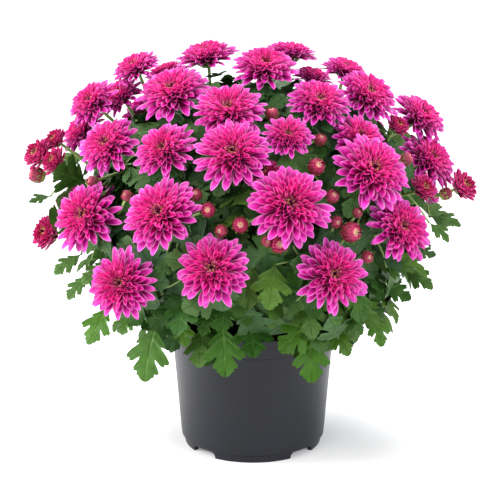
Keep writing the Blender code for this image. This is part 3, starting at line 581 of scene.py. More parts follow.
def petal_material(name, root, middle, tip, edge, shaded_heart_root, heart_tip, heart_edge_highlight, eye_root, eye_tip, eye_from):
    """Velvety petal skin: its colour runs from root to tip, and towards the heart's colours deep in the bloom."""
    material, tree, shader = new_material(name)
    lie = node(tree, "ShaderNodeSeparateXYZ", {"Vector": node(tree, "ShaderNodeUVMap", uv_map="petal").outputs["UV"]})
    shade = node(tree, "ShaderNodeSeparateXYZ", {"Vector": node(tree, "ShaderNodeUVMap", uv_map="shade").outputs["UV"]})
    across, along = lie.outputs["X"], lie.outputs["Y"]
    depth, tone = shade.outputs["X"], shade.outputs["Y"]
    # The dark start of each ramp at the root is painted shade under the overlapping petal.
    outer = node(tree, "ShaderNodeValToRGB", {"Fac": along}, stops=((0.45, root), (0.78, middle), (1.0, tip)))
    heart = node(tree, "ShaderNodeValToRGB", {"Fac": along}, stops=((0.40, shaded_heart_root), (0.92, heart_tip)))
    eye = node(tree, "ShaderNodeValToRGB", {"Fac": along}, stops=((0.55, eye_root), (1.0, eye_tip)))
    deep = node(tree, "ShaderNodeMapRange", {"Value": depth, "From Min": 0.15, "From Max": 0.75})
    young = node(tree, "ShaderNodeMapRange", {"Value": depth, "From Min": eye_from - 0.05, "From Max": eye_from + 0.04})
    outer_body = node(
        tree, "ShaderNodeMix",
        {"Factor": deep.outputs["Result"], "A": outer.outputs["Color"], "B": heart.outputs["Color"]}, data_type="RGBA",
    )
    body = node(
        tree, "ShaderNodeMix",
        {"Factor": young.outputs["Result"], "A": outer_body.outputs["Result"], "B": eye.outputs["Color"]},
        data_type="RGBA",
    )
    from_rib = node(tree, "ShaderNodeMath", {0: across, 1: 0.5}, operation="SUBTRACT")
    off_rib = node(tree, "ShaderNodeMath", {0: from_rib.outputs[0]}, operation="ABSOLUTE")
    # The paler rim is partly the petal's own colour and partly a painted highlight where the rolled edge catches the
    # light.
    rim = node(tree, "ShaderNodeMapRange", {"Value": off_rib.outputs[0], "From Min": 0.30, "From Max": 0.50, "To Max": 0.65})
    edges = node(
        tree, "ShaderNodeMix", {"Factor": deep.outputs["Result"], "A": linear(edge), "B": linear(heart_edge_highlight)},
        data_type="RGBA",
    )
    rim_highlighted = node(
        tree, "ShaderNodeMix",
        {"Factor": rim.outputs["Result"], "A": body.outputs["Result"], "B": edges.outputs["Result"]}, data_type="RGBA",
    )
    strand = node(tree, "ShaderNodeCombineXYZ", {"X": across, "Y": along, "Z": tone})
    stretched = node(
        tree, "ShaderNodeVectorMath", {0: strand.outputs["Vector"], 1: (13, 1.2, 40)}, operation="MULTIPLY",
    )
    veins = node(tree, "ShaderNodeTexNoise", {"Vector": stretched.outputs["Vector"], "Scale": 1, "Detail": 3})
    vein_share = node(
        tree, "ShaderNodeMapRange",
        {"Value": veins.outputs["Fac"], "From Min": 0.44, "From Max": 0.66, "To Max": 0.38},
    )
    veined = node(
        tree, "ShaderNodeMix",
        {"Factor": vein_share.outputs["Result"], "A": rim_highlighted.outputs["Result"], "B": linear(root)}, data_type="RGBA",
    )
    at_tip = node(tree, "ShaderNodeMapRange", {"Value": along, "From Min": 0.72, "From Max": 0.95})
    gilded = node(
        tree, "ShaderNodeMath", {0: young.outputs["Result"], 1: at_tip.outputs["Result"]}, operation="MULTIPLY",
    )
    finished = node(
        tree, "ShaderNodeMix",
        {"Factor": gilded.outputs[0], "A": veined.outputs["Result"], "B": linear(GOLD_TIP)}, data_type="RGBA",
    )
    lively = node(tree, "ShaderNodeMapRange", {"Value": tone, "To Min": 0.86, "To Max": 1.10})
    toned = node(
        tree, "ShaderNodeHueSaturation",
        {"Hue": 0.5, "Saturation": 1.0, "Value": lively.outputs["Result"], "Color": finished.outputs["Result"]},
    )
    relief = node(
        tree, "ShaderNodeBump", {"Height": veins.outputs["Fac"], "Strength": 0.35, "Distance": 0.3 * MM},
    )
    tree.links.new(toned.outputs["Color"], shader.inputs["Base Color"])
    tree.links.new(relief.outputs["Normal"], shader.inputs["Normal"])
    shader.inputs["Roughness"].default_value = 0.55
    shader.inputs["IOR"].default_value = 1.42
    shader.inputs["Sheen Weight"].default_value = 0.08
    shader.inputs["Sheen Roughness"].default_value = 0.5
    shader.inputs["Sheen Tint"].default_value = linear(tip)
    shader.inputs["Subsurface Weight"].default_value = 0.15
    shader.inputs["Subsurface Radius"].default_value = (1.0, 0.1, 0.6)
    shader.inputs["Subsurface Scale"].default_value = 1.5 * MM
    return material


open_petal = petal_material(
    "magenta_ray_petal", RAY_SHADED_ROOT, RAY_MIDDLE, RAY_TIP, RAY_EDGE_HIGHLIGHT, HEART_SHADED_ROOT, HEART_TIP, HEART_EDGE_HIGHLIGHT,
    EYE_ROOT, EYE_TIP, 0.94,
)
# As for the open blooms, the root colours here are painted shade and the edge colours partly a painted highlight.
young_petal = petal_material(
    "crimson_young_petal", "#980048", "#c80e78", "#e04ca4", "#ffa4dc", "#8c0038", "#d00c66", "#ee5aa8",
    "#5c0018", "#9c1438", 0.88,
)


# %% [markdown]
# A head turns towards the light more than the stem that carries it: mostly upwards, and at the sides of the plant
# also towards the window in front. The heads at the sides have the most room, so they spread a little wider.
# Inside a head the youngest petals are packed closer, which a power just above one does.

# %% Blooms
HEAD_LIFT, HEAD_TURN = 0.50, 0.30
SIDE_FROM, SIDE_TO, SIDE_SPREAD = 80 * MM, 150 * MM, 0.12
SEEN_BLOOMS = len(OPEN_BLOOMS) + len(YOUNG_BLOOMS)
CROWDING = 1.2


def grow_bloom(bloom, stages, count, seed):
    """A whole bloom as one bmesh of petals, from the outermost to the innermost, with its two colour maps."""
    bm = bmesh.new()
    maps = bm.loops.layers.uv.new("petal"), bm.loops.layers.uv.new("shade")
    towards_light = bloom["axis"] + Vector((0, 0, 1)) * HEAD_LIFT * (1 - bloom["axis"].z)
    radius, side = bloom["radius"], min(1, max(0, (abs(bloom["centre"].x) - SIDE_FROM) / (SIDE_TO - SIDE_FROM)))
    if bloom["seen"]:
        towards_light -= picture_ray(*PICTURE_AXIS) * HEAD_TURN * side
        radius *= 1 + SIDE_SPREAD * side * (bloom["kind"] == "open")
    place = facing(bloom["centre"], towards_light.normalized(), bloom["spin"])
    draw = random.Random(seed)
    for k in range(count):
        depth = 1 - (1 - k / (count - 1)) ** CROWDING
        azimuth = k * GOLDEN_ANGLE + draw.uniform(-0.13, 0.13)
        add_petal(bm, maps, place, azimuth, between(stages, depth), radius, depth, draw)
    return bm


petal_total = 0
for number, bloom in enumerate(blooms):
    kind = bloom["kind"]
    bloom["seen"] = number < SEEN_BLOOMS
    stages = OPEN_STAGES if kind == "open" else YOUNG_STAGES
    skin = open_petal if kind == "open" else young_petal
    head = grow_bloom(bloom, stages, PETAL_COUNT[kind], 9000 + number)
    piece = add_piece(f"{kind}_head_{number + 1:02d}", head, [skin], [bloom["node"]])
    petal_total += triangles(piece)
print("blooms:", petal_total, "triangles")

# %% [markdown]
# Each cutting stands on a short woody stem in the soil. It was pinched at 150 mm, and from there flower stems
# grow up and outwards, one for each bloom; some branch again from a stem nearby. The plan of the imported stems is
# repeated, as a line of a few points for each. A finished stem is a slender tube on the same line with its
# corners rounded, and it opens into the green cup that holds the petals.

# %% Plan of the stems
SOIL_DEPTH = 34 * MM
PLANTS = ("front", "right", "back_right", "back_left", "left")
FIRST_PLANT_AZIMUTH = -90
CROWN_CIRCLE = 40 * MM
STEM_RADIUS = 2.8 * MM
PINCH_HEIGHT = 150 * MM
SHOOT_RADIUS = 1.9 * MM
PETIOLE_RADIUS = 1.0 * MM
CALYX_RADIUS = 0.2
STEM_STEPS = 4
MOST_SHARES = 4
BOUGH_REACH = 110 * MM
GAP = 0.4 * MM


def crown(plant):
    """Where a plant's main stem leaves the soil, as (x, y)."""
    azimuth = math.radians(FIRST_PLANT_AZIMUTH) + math.tau * plant / len(PLANTS)
    return CROWN_CIRCLE * math.cos(azimuth), CROWN_CIRCLE * math.sin(azimuth)


def plant_of(point):
    """The number of the plant whose sector of the pot holds the point."""
    azimuth = math.degrees(math.atan2(point.y, point.x)) - FIRST_PLANT_AZIMUTH
    return round(azimuth / (360 / len(PLANTS))) % len(PLANTS)


def bent(start, first, second, end, count):
    """A bent line of points from start to end, which leaves and arrives along two control points."""
    shares = [k / (count - 1) for k in range(count)]
    return [
        start * (1 - t) ** 3 + first * 3 * t * (1 - t) ** 2 + second * 3 * t * t * (1 - t) + end * t**3
        for t in shares
    ]


def spot_on(line, share):
    """The point at a share of the way along a bent line, counted in its steps, and the line's direction there."""
    place = share * (len(line) - 1)
    step = min(int(place), len(line) - 2)
    way = line[step + 1] - line[step]
    return line[step] + way * (place - step), way.normalized()


def flower_stem(start, bloom, lean):
    """The line of a flower stem, from where it starts to the flat under its bloom."""
    end = bloom["centre"] + bloom["axis"] * (BLOOM_FOOT[bloom["kind"]] * bloom["radius"] - GAP)
    neck = end - bloom["axis"] * 0.9 * CALYX_RADIUS * bloom["radius"]
    span = (end - start).length
    return bent(start, start + lean * 0.35 * span, neck - bloom["axis"] * 0.34 * span, neck, STEM_STEPS) + [end]


shoots = []
for index, bloom in enumerate(blooms):
    plant = plant_of(bloom["centre"])
    boughs = [
        s for s in shoots
        if s["plant"] == plant and s["shares"] < MOST_SHARES
        and (s["bloom"]["centre"] - bloom["centre"]).length < BOUGH_REACH
    ]
    bough = min(boughs, key=lambda s: (s["bloom"]["centre"] - bloom["centre"]).length, default=None)
    if bough:
        start, lean = spot_on(bough["line"], 0.25 + 0.09 * bough["shares"])
        bough["shares"] += 1
    else:
        start = Vector((*crown(plant), PINCH_HEIGHT - (index % 4) * 5 * MM))
        outward = Vector((bloom["centre"].x - start.x, bloom["centre"].y - start.y, 0)).normalized()
        lean = Vector((0, 0, 1)) + outward * 0.45
    line = flower_stem(start, bloom, lean)
    shoots.append({"plant": plant, "bloom": bloom, "line": line, "shares": MOST_SHARES if bough else 0})
print("stems:", len(shoots), "flower stems, shared boughs:", sum(s["shares"] for s in shoots if s["shares"] < MOST_SHARES))

# %% [markdown]
# The unopened buds sit low between the blooms on short side stems. Two of them found no room where they were
# planned and sank back along their axes in the imported model, so each bud is stepped back here until its top lies on
# the imported skin.

# %% Plan of the buds
# Buds: across, down, diameter in mm, and how far above the dome in mm
BUDS = (
    (34, 174, 15, 6), (62, 202, 10, 0), (94, 182, 11, -4), (127.5, 196, 10, -6), (196, 195, 11, -8),
    (208, 210, 13, -4), (240.5, 225, 14, -4), (221.5, 231, 11, -8), (272, 115, 12, -8), (316, 167, 15, -6),
    (332, 197, 12, -10), (350.5, 232, 18, -4), (336, 222, 11, -10), (279.5, 244, 16, -4), (267, 241, 10, -6),
    (320, 140, 11, -10), (405.5, 159.5, 12, -6), (367, 257, 11, -8), (445, 194, 12, 0), (357, 213, 9, -10),
)
BUD_STEP = 2 * MM
BOW_STEP = 4 * MM


def nearest_spot(plant, point, shares):
    """The spot nearest to a point on the flower stems of one plant."""
    spots = [spot_on(s["line"], share) for s in shoots if s["plant"] == plant for share in shares]
    return min(spots, key=lambda spot: (spot[0] - point).length)


plant_trees = [node_tree_of(f"plant_{name}") for name in PLANTS]


def packed_near(plant, point, reach):
    """Whether a plant's packed skin passes within reach of a point."""
    return plant_trees[plant].find_nearest(point, reach)[0] is not None


buds = []
for number, (across, down, diameter, lift) in enumerate(BUDS):
    centre = on_dome(across, down, lift * MM)
    axis = leaning(dome_normal(centre), 700 + number, 14)
    radius = diameter * MM / 2
    plant = plant_of(centre)
    for attempt in range(10):
        sunk = centre - axis * attempt * BUD_STEP
        if packed_near(plant, sunk + axis * 1.1 * radius, 0.05 * MM):
            break
    foot = sunk - axis * 20 * MM
    root, way = nearest_spot(plant, foot, [k / 20 for k in range(6, 14)])
    reach = (sunk - root).length
    side = Matrix.Rotation(attempt * GOLDEN_ANGLE, 3, way) @ way.orthogonal().normalized()
    bow = side * attempt * BOW_STEP
    line = bent(root, root + way * 0.4 * reach + bow, sunk - axis * 0.4 * reach + bow, sunk, 3)
    buds.append({"centre": sunk, "axis": axis, "radius": radius, "plant": plant, "line": line, "attempt": attempt})
print("buds:", len(buds), "attempts", [bud["attempt"] for bud in buds])

# %% [markdown]
# The leaves in front were read off the picture like the blooms. More hang over the rim all round, and one or two
# grow on every flower stem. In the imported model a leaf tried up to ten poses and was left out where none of
# them cleared its neighbours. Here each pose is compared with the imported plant: the one whose tip lies on
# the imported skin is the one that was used.

# %% Plan of the leaves
# Hanging leaves in front: base across, down and depth in mm towards the viewer, then the same for the tip
FRONT_LEAVES = (
    (52, 196, 20, 29, 203, 30), (83, 254, 40, 54, 274, 50), (89, 275, 60, 68, 300, 70),
    (111, 303, 70, 88, 345, 90), (157, 321, 100, 144, 382, 118), (223, 321, 112, 226, 377, 124),
    (309, 330, 108, 311, 383, 122), (313, 318, 104, 279, 352, 128), (331, 322, 86, 349, 356, 96),
    (371, 311, 80, 382, 347, 96), (382, 285, 80, 411, 300, 92), (401, 268, 60, 433, 289, 72),
    (428, 217, 30, 461, 226, 44), (412, 250, 50, 436, 256, 60), (270, 300, 118, 272, 329, 128),
    (281, 268, 142, 288, 308, 158), (183, 294, 128, 164, 307, 140), (212, 308, 116, 202, 336, 134),
    (183, 318, 104, 186, 347, 118), (428, 222, 30, 449, 242, 40), (135, 312, 90, 121, 335, 98),
    (166, 255, 138, 159, 281, 146), (345, 312, 100, 362, 335, 112), (243, 300, 124, 248, 327, 136),
    (372, 262, 80, 414, 268, 92), (362, 246, 60, 404, 256, 70), (125, 243, 60, 93, 258, 70),
    (112, 262, 60, 82, 284, 68), (180, 300, 112, 150, 330, 126), (352, 296, 90, 384, 318, 100),
)
SKIRT_LEAVES = 16
SHOOT_LEAF_PLACES = ((0.50, 1), (0.30, 2))
ATTEMPTS = 10
DEPTH_STEP = 7


def shoot_leaf(shoot, number, place, attempt):
    """A leaf on a flower stem: one golden angle on from the last, and turned further at each new attempt."""
    draw = random.Random(1000 * number + round(100 * place))
    base, way = spot_on(shoot["line"], place)
    turn = number + GOLDEN_ANGLE * (100 * place / 18) + attempt * math.radians(70) + draw.uniform(-0.2, 0.2)
    side = Matrix.Rotation(turn, 3, way) @ way.orthogonal().normalized()
    outward = dome_normal(base)
    direction = (side + way * 0.35 + outward * 0.45).normalized()
    length = (68 - 26 * place + draw.uniform(-3, 5)) * MM * (1 - 0.03 * attempt)
    return {
        "base": base, "direction": direction, "up": outward + way * 0.5, "length": length,
        "arch": draw.uniform(0.05, 0.35), "fold": draw.uniform(0.0, 0.25), "plant": shoot["plant"], "kind": "shoot",
    }


def stalked_leaf(base, tip, number, arch, turned_to, kind):
    """A leaf between two points, its upper face turned away from the plant's middle and towards the given side."""
    draw = random.Random(number)
    middle = (base + tip) / 2
    outward = (middle - Vector((0, 0, PINCH_HEIGHT))).normalized()
    return {
        "base": base, "direction": tip - base, "up": outward + turned_to, "length": (tip - base).length,
        "arch": arch, "fold": draw.uniform(0.0, 0.2), "plant": plant_of(middle), "kind": kind,
    }


def hanging_leaf(row, number, attempt):
    """A leaf that the front view shows, from its base and its tip on the picture. Each attempt tries another depth."""
    nearer = (attempt + 1) // 2 * DEPTH_STEP * (1 if attempt % 2 else -1)
    base, tip = at_depth(row[0], row[1], row[2] + nearer), at_depth(row[3], row[4], row[5] + nearer)
    return stalked_leaf(base, tip, number, 0.18, Vector((0, -0.7, 0.4)), "front")


def skirt_leaf(number, attempt):
    """A leaf that hangs over the rim, at an even azimuth round the pot."""
    draw = random.Random(500 + number)
    azimuth = math.tau * (number + 0.4 * attempt) / SKIRT_LEAVES + draw.uniform(-0.1, 0.1)
    way = Vector((math.cos(azimuth), math.sin(azimuth), 0))
    base = way * draw.uniform(100, 120) * MM + Vector((0, 0, draw.uniform(158, 190) * MM))
    tip = base + way * draw.uniform(28, 44) * MM - Vector((0, 0, draw.uniform(30, 46) * MM))
    return stalked_leaf(base, tip, 500 + number, 0.2, Vector((0, 0, 0.4)), "skirt")


def leaf_stalk(leaf):
    """The line of the stalk that joins a hanging leaf to the nearest flower stem of its plant."""
    root, way = nearest_spot(leaf["plant"], leaf["base"], [k / 20 for k in range(3, 14)])
    reach = (leaf["base"] - root).length
    along = leaf["direction"].normalized()
    return bent(root, root + way * 0.3 * reach, leaf["base"] - along * 0.3 * reach, leaf["base"] + along * 2 * MM, 3)


plans = [[hanging_leaf(row, k, attempt) for attempt in range(ATTEMPTS)] for k, row in enumerate(FRONT_LEAVES)]
plans += [[skirt_leaf(k, attempt) for attempt in range(ATTEMPTS)] for k in range(SKIRT_LEAVES)]
for place, step in SHOOT_LEAF_PLACES:
    for k in range(0, len(shoots), step):
        plans.append([shoot_leaf(shoots[k], k, place, attempt) for attempt in range(ATTEMPTS)])
leaves = []
for poses in plans:
    for leaf in poses:
        if packed_near(leaf["plant"], leaf["base"] + leaf["direction"].normalized() * leaf["length"], 0.05 * MM):
            leaves.append(leaf)
            break
for leaf in leaves:
    leaf["stalk"] = None if leaf["kind"] == "shoot" else leaf_stalk(leaf)
print("leaves:", len(leaves), "of", len(plans), "planned stand in the packed plants")

# %% [markdown]
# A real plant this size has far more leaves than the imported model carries: most are smaller and sit deep
# among the stems, where they close the view and lie in shade. They are grown here along the flower stems, a golden
# angle apart like the others, and only where they clear the blooms.

# %% Inner leaves
INNER_LEAF_PLACES = (0.24, 0.36, 0.44, 0.54, 0.60, 0.66, 0.72, 0.78, 0.84, 0.90, 0.95)


def crosses_bloom(points):
    """Whether any of these points comes too near a packed bloom, or a line between them passes through one."""
    near = [tree for tree, b in zip(bloom_trees, blooms) if (b["centre"] - points[1]).length < b["radius"] + 60 * MM]
    for tree in near:
        if any(tree.find_nearest(point, 3 * MM)[0] for point in points):
            return True
        for a, b in ((0, 1), (2, 3), (1, 2), (1, 3)):
            if tree.ray_cast(points[a], points[b] - points[a], (points[b] - points[a]).length)[0]:
                return True
    return False


def under_dome(points):
    """Whether all these points lie well under the blooms."""
    offsets = [point - DOME_CENTRE for point in points]
    return all(o.xy.length_squared / DOME_RADIUS**2 + (o.z / DOME_HALF_HEIGHT) ** 2 < 0.96**2 for o in offsets)


def inner_leaf(shoot, number, place, attempt):
    """A smaller leaf deep among the stems, which spreads outwards to the light."""
    draw = random.Random(77 * number + round(1000 * place) + 13 * attempt)
    base, way = spot_on(shoot["line"], place)
    turn = number * 2.1 + GOLDEN_ANGLE * place * 24 + attempt * 1.3
    side = Matrix.Rotation(turn, 3, way) @ way.orthogonal().normalized()
    outward = dome_normal(base)
    direction = (side + way * draw.uniform(-0.2, 0.5) + outward * draw.uniform(-0.1, 0.4)).normalized()
    return {
        "base": base, "direction": direction, "up": outward + way * 0.6,
        "length": draw.uniform(44, 60) * MM * (1.18 - 0.50 * place) * (1 - 0.07 * attempt), "arch": draw.uniform(0.05, 0.4),
        "fold": draw.uniform(0.0, 0.3), "plant": shoot["plant"], "kind": "inner", "stalk": None,
    }


def leaf_reach(leaf):
    """The base, the tip and the two widest points of a leaf."""
    ahead = leaf["direction"].normalized() * leaf["length"]
    aside = leaf["up"].cross(ahead).normalized() * 0.42 * leaf["length"]
    return [leaf["base"] + ahead * 0.1, leaf["base"] + ahead, leaf["base"] + ahead * 0.6 + aside,
            leaf["base"] + ahead * 0.6 - aside]


low, high = CAD_BOX
packed_count = len(leaves)
for number, shoot in enumerate(shoots):
    for place in INNER_LEAF_PLACES:
        for attempt in range(6):
            leaf = inner_leaf(shoot, number, place, attempt)
            reach = leaf_reach(leaf)
            inside = all(low[i] < point[i] < high[i] for point in reach for i in range(3))
            clear_of_pot = all(point.z > SOIL_LEVEL + 14 * MM for point in reach)
            if inside and clear_of_pot and under_dome(reach) and not crosses_bloom(reach):
                leaves.append(leaf)
                break
print("inner leaves:", len(leaves) - packed_count)

# %% [markdown]
# Round the outside, low down, the foliage hangs over the rim of the pot like a hem. Nothing grows in front of it,
# so it gets light and its leaves are well grown. The tries go round by golden angles, and one is kept only where
# it has some room of its own and clears the blooms and the pot. In front, between two big leaves, the picture shows
# a bare stretch of the rim, and no leaf is kept that would hide it.

# %% Hem leaves
HEM_TRIES, FLANK_TRIES, HEM_SPACING = 520, 160, 17 * MM
# The bare stretch of rim on the picture: from and to across, then from and to down
RIM_WINDOW = (240, 297, 324, 356)


def on_picture(point):
    """Where the viewer sees a point, as (across, down)."""
    offset = point - VIEWER
    ahead = offset.dot(picture_ray(*PICTURE_AXIS))
    up = Vector((0, math.sin(VIEWER_PITCH), math.cos(VIEWER_PITCH)))
    return PICTURE_AXIS.x + PICTURE_SCALE * offset.x / ahead, PICTURE_AXIS.y - PICTURE_SCALE * offset.dot(up) / ahead


def hides_rim(points):
    """Whether a leaf in front with these four points would cover the bare stretch of the rim."""
    base, tip, left, right = points
    middle = (left + right) / 2
    spots = [on_picture(p) for p in (tip, left, right, middle, middle.lerp(tip, 0.5), left.lerp(tip, 0.5), right.lerp(tip, 0.5))]
    west, east, north, south = RIM_WINDOW
    return tip.y < 0 and any(west < across < east and north < down < south for across, down in spots)


def hem_leaf(seed, azimuth, lowest, highest):
    """A leaf low on the plant's outside, where the foliage hangs over the rim of the pot."""
    draw = random.Random(seed)
    way = Vector((math.cos(azimuth), math.sin(azimuth), 0))
    height = draw.uniform(lowest, highest) * MM
    reach = (78 + 78 * math.sqrt(max(0, (height / MM - 140) / 95))) * draw.uniform(0.80, 1.0) * MM
    base = way * reach + Vector((0, 0, height))
    drop = draw.uniform(0.55, 1.3)
    aside = Vector((-way.y, way.x, 0)) * draw.uniform(-0.5, 0.5)
    tip = base + (way * draw.uniform(0.5, 0.9) + aside - Vector((0, 0, drop))).normalized() * draw.uniform(36, 50) * MM
    return stalked_leaf(base, tip, seed, 0.2, Vector((0, 0, 0.5)), "hem")


crowd = [leaf["base"] + leaf["direction"].normalized() * leaf["length"] * 0.6 for leaf in leaves if leaf["kind"] != "inner"]
tries = [(40000 + n, n * GOLDEN_ANGLE, 146, 232) for n in range(HEM_TRIES)]
# The left flank, where the foliage reaches up between the lowest blooms
tries += [(45000 + n, math.pi + 0.5 * math.sin(n), 180, 262) for n in range(FLANK_TRIES)]
hem_count = 0
for chances in tries:
    leaf = hem_leaf(*chances)
    reach = leaf_reach(leaf)
    middle = leaf["base"] + leaf["direction"] * 0.6
    inside = all(low[i] < point[i] < high[i] for point in reach for i in range(3))
    clear_of_pot = all(point.z > POT_HEIGHT + 6 * MM or point.xy.length > RIM_RADIUS + 5 * MM for point in reach)
    spaced = all((middle - other).length > HEM_SPACING for other in crowd)
    if inside and clear_of_pot and spaced and not hides_rim(reach) and not crosses_bloom(reach):
        leaf["stalk"] = leaf_stalk(leaf)
        leaves.append(leaf)
        crowd.append(middle)
        hem_count += 1
print("hem leaves:", hem_count)

# %% [markdown]
# Between the blooms one looks into the dark of the plant, where older leaves lie roughly flat to the dome, one over
# another. They are spread over a shell inside the dome in a golden spiral, each on a stalk from the nearest stem,
# and they keep daylight from showing through. Under the crown a flat leaf would be seen edge on, so the smaller
# ones there rise steeply between the flower stems.

# %% Shade leaves
SHADE_TRIES, CROWN_TRIES = 330, 300


def shade_leaf(seed, azimuth, height, depths, rises, lengths):
    """An older leaf under the blooms; its depth in the dome, its rise and its length are drawn from the pairs."""
    draw = random.Random(seed)
    flat = math.sqrt(1 - height**2)
    out = Vector((flat * math.cos(azimuth), flat * math.sin(azimuth), height))
    depth = draw.uniform(*depths)
    middle = DOME_CENTRE + depth * Vector((out.x * DOME_RADIUS, out.y * DOME_RADIUS, out.z * DOME_HALF_HEIGHT))
    along = Matrix.Rotation(draw.uniform(0, math.tau), 3, out) @ out.orthogonal().normalized()
    along = (along + out * draw.uniform(*rises)).normalized()
    length = draw.uniform(*lengths) * MM
    return {
        "base": middle - along * 0.5 * length, "direction": along, "up": out, "length": length,
        "arch": draw.uniform(0.1, 0.4), "fold": draw.uniform(0.0, 0.2), "plant": plant_of(middle), "kind": "shade",
    }


tries = []
for n in range(SHADE_TRIES):
    height = -0.62 + 1.56 * (n + 0.5) / SHADE_TRIES
    tries.append((60000 + n, n * GOLDEN_ANGLE, height, (0.60, 0.87), (-0.35, 0.35), (44, 62)))
for n in range(CROWN_TRIES):
    height = 0.40 + 0.58 * (n + 0.5) / CROWN_TRIES
    tries.append((65000 + n, n * GOLDEN_ANGLE, height, (0.76, 0.90), (0.5, 1.3), (34, 48)))
shade_count = 0
for chances in tries:
    leaf = shade_leaf(*chances)
    reach = leaf_reach(leaf)
    clear_of_pot = all(point.z > POT_HEIGHT + 8 * MM for point in reach)
    if clear_of_pot and under_dome(reach) and not crosses_bloom(reach):
        leaf["stalk"] = leaf_stalk(leaf)
        leaves.append(leaf)
        shade_count += 1
print("shade leaves:", shade_count)

# %% [markdown]
# A garden chrysanthemum's leaf has a round-toothed blade with two deep lobes on each side and a broad one at
# its tip. One side is read off as a table from the stalk to the tip. Every point of the edge also names the spot
# on the midrib that its vein springs from, so the blade can be ruled between rib and edge, and the veins can
# follow the same rays in the colour.

# %% Leaf outline
# Along and across in shares of the leaf's length, and where on the midrib the vein to that point springs from
LEAF_OUTLINE = (
    (0.000, 0.014, 0.000), (0.080, 0.020, 0.080), (0.150, 0.050, 0.130), (0.215, 0.115, 0.160),
    (0.290, 0.192, 0.185), (0.370, 0.272, 0.205), (0.415, 0.270, 0.228), (0.402, 0.204, 0.250),
    (0.445, 0.242, 0.270), (0.520, 0.322, 0.290), (0.610, 0.386, 0.315), (0.665, 0.378, 0.340),
    (0.664, 0.318, 0.365), (0.712, 0.304, 0.390), (0.700, 0.246, 0.420), (0.655, 0.190, 0.460),
    (0.615, 0.136, 0.530), (0.665, 0.146, 0.590), (0.740, 0.194, 0.630), (0.805, 0.234, 0.665),
    (0.850, 0.216, 0.700), (0.850, 0.158, 0.740), (0.902, 0.162, 0.780), (0.924, 0.114, 0.830),
    (0.968, 0.088, 0.880), (0.990, 0.045, 0.940), (1.000, 0.010, 0.985),
)
VEIN_ROWS = (5, 10, 19)
# Front leaves above this height get a darker painted shade than the ones over the rim, as the blooms shade them
HIGH_LEAF = 168 * MM
LEAF_ACROSS = {"front": 4, "skirt": 4, "hem": 2, "shoot": 2, "inner": 2, "shade": 2}


def leaf_place(leaf):
    """The matrix that lays a leaf's X axis along its direction, with its upper face towards its facing side."""
    x_axis = leaf["direction"].normalized()
    y_axis = leaf["up"].cross(x_axis).normalized()
    turn = Matrix((x_axis, y_axis, x_axis.cross(y_axis))).transposed().to_4x4()
    return Matrix.Translation(leaf["base"]) @ turn


def add_leaf(bm, maps, leaf, seed):
    """Adds one leaf to a bmesh: a grid whose rows follow the veins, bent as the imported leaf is, with soft waves."""
    draw = random.Random(seed)
    phase, wave = draw.uniform(0, math.tau), draw.uniform(0.015, 0.040)
    # How much light a kind of leaf gets is painted into its green: painted light for leaves in the open, painted shade
    # for those deep among the blooms.
    lit = {"front": 0.85, "skirt": 0.75, "hem": 0.55, "shoot": 0.40, "inner": 0.18, "shade": 0.10}[leaf["kind"]]
    if leaf["kind"] == "front" and leaf["base"].z > HIGH_LEAF:
        lit = 0.45
    lit += draw.uniform(-0.16, 0.16)
    length = leaf["length"]
    grid = bmesh.ops.create_grid(bm, x_segments=len(LEAF_OUTLINE) - 1, y_segments=LEAF_ACROSS[leaf["kind"]], size=0.5)
    blade_map, light_map = maps
    spots = {}
    for v in grid["verts"]:
        row = round((v.co.x + 0.5) * (len(LEAF_OUTLINE) - 1))
        along, across, spring = LEAF_OUTLINE[row]
        share = 2 * v.co.y
        x = spring + (along - spring) * abs(share)
        y = across * share
        off_vein = min(1, min(abs(row - vein) for vein in VEIN_ROWS) / 3)
        puff = 0.020 * off_vein * math.sin(math.pi * min(abs(share), 1) * 0.8)
        height = leaf["arch"] * (x - x * x) + leaf["fold"] * abs(y) + puff
        height += wave * math.sin(9 * x + 4 * y + phase) * abs(share) - 0.14 * y * y
        v.co = Vector((x, y, height)) * length
        spots[v] = (row / (len(LEAF_OUTLINE) - 1), 0.5 + share / 2)
    for face in {face for v in grid["verts"] for face in v.link_faces}:
        for loop in face.loops:
            loop[blade_map].uv = spots[loop.vert]
            loop[light_map].uv = (lit, phase / math.tau)
    bmesh.ops.transform(bm, matrix=leaf_place(leaf), verts=grid["verts"])


# %% [markdown]
# Chrysanthemum leaves are matt and a little downy above, and a mid green. How much light each kind of leaf gets is
# painted into its green: the ones that hang in the light over the rim get a fresh painted light, and those in the
# shade of the blooms a darker and bluer painted shade. The veins stand out paler, with the blade puffed up a little
# between them. A small share of subsurface light makes a lit leaf glow.

# %% Leaf material
# The sun and shade greens are lit and shaded copies of one green: painted light and shade.
LEAF_SUN, LEAF_SHADE = "#3b6610", "#345430"
VEIN_SUN, VEIN_SHADE = "#78a040", "#54784a"

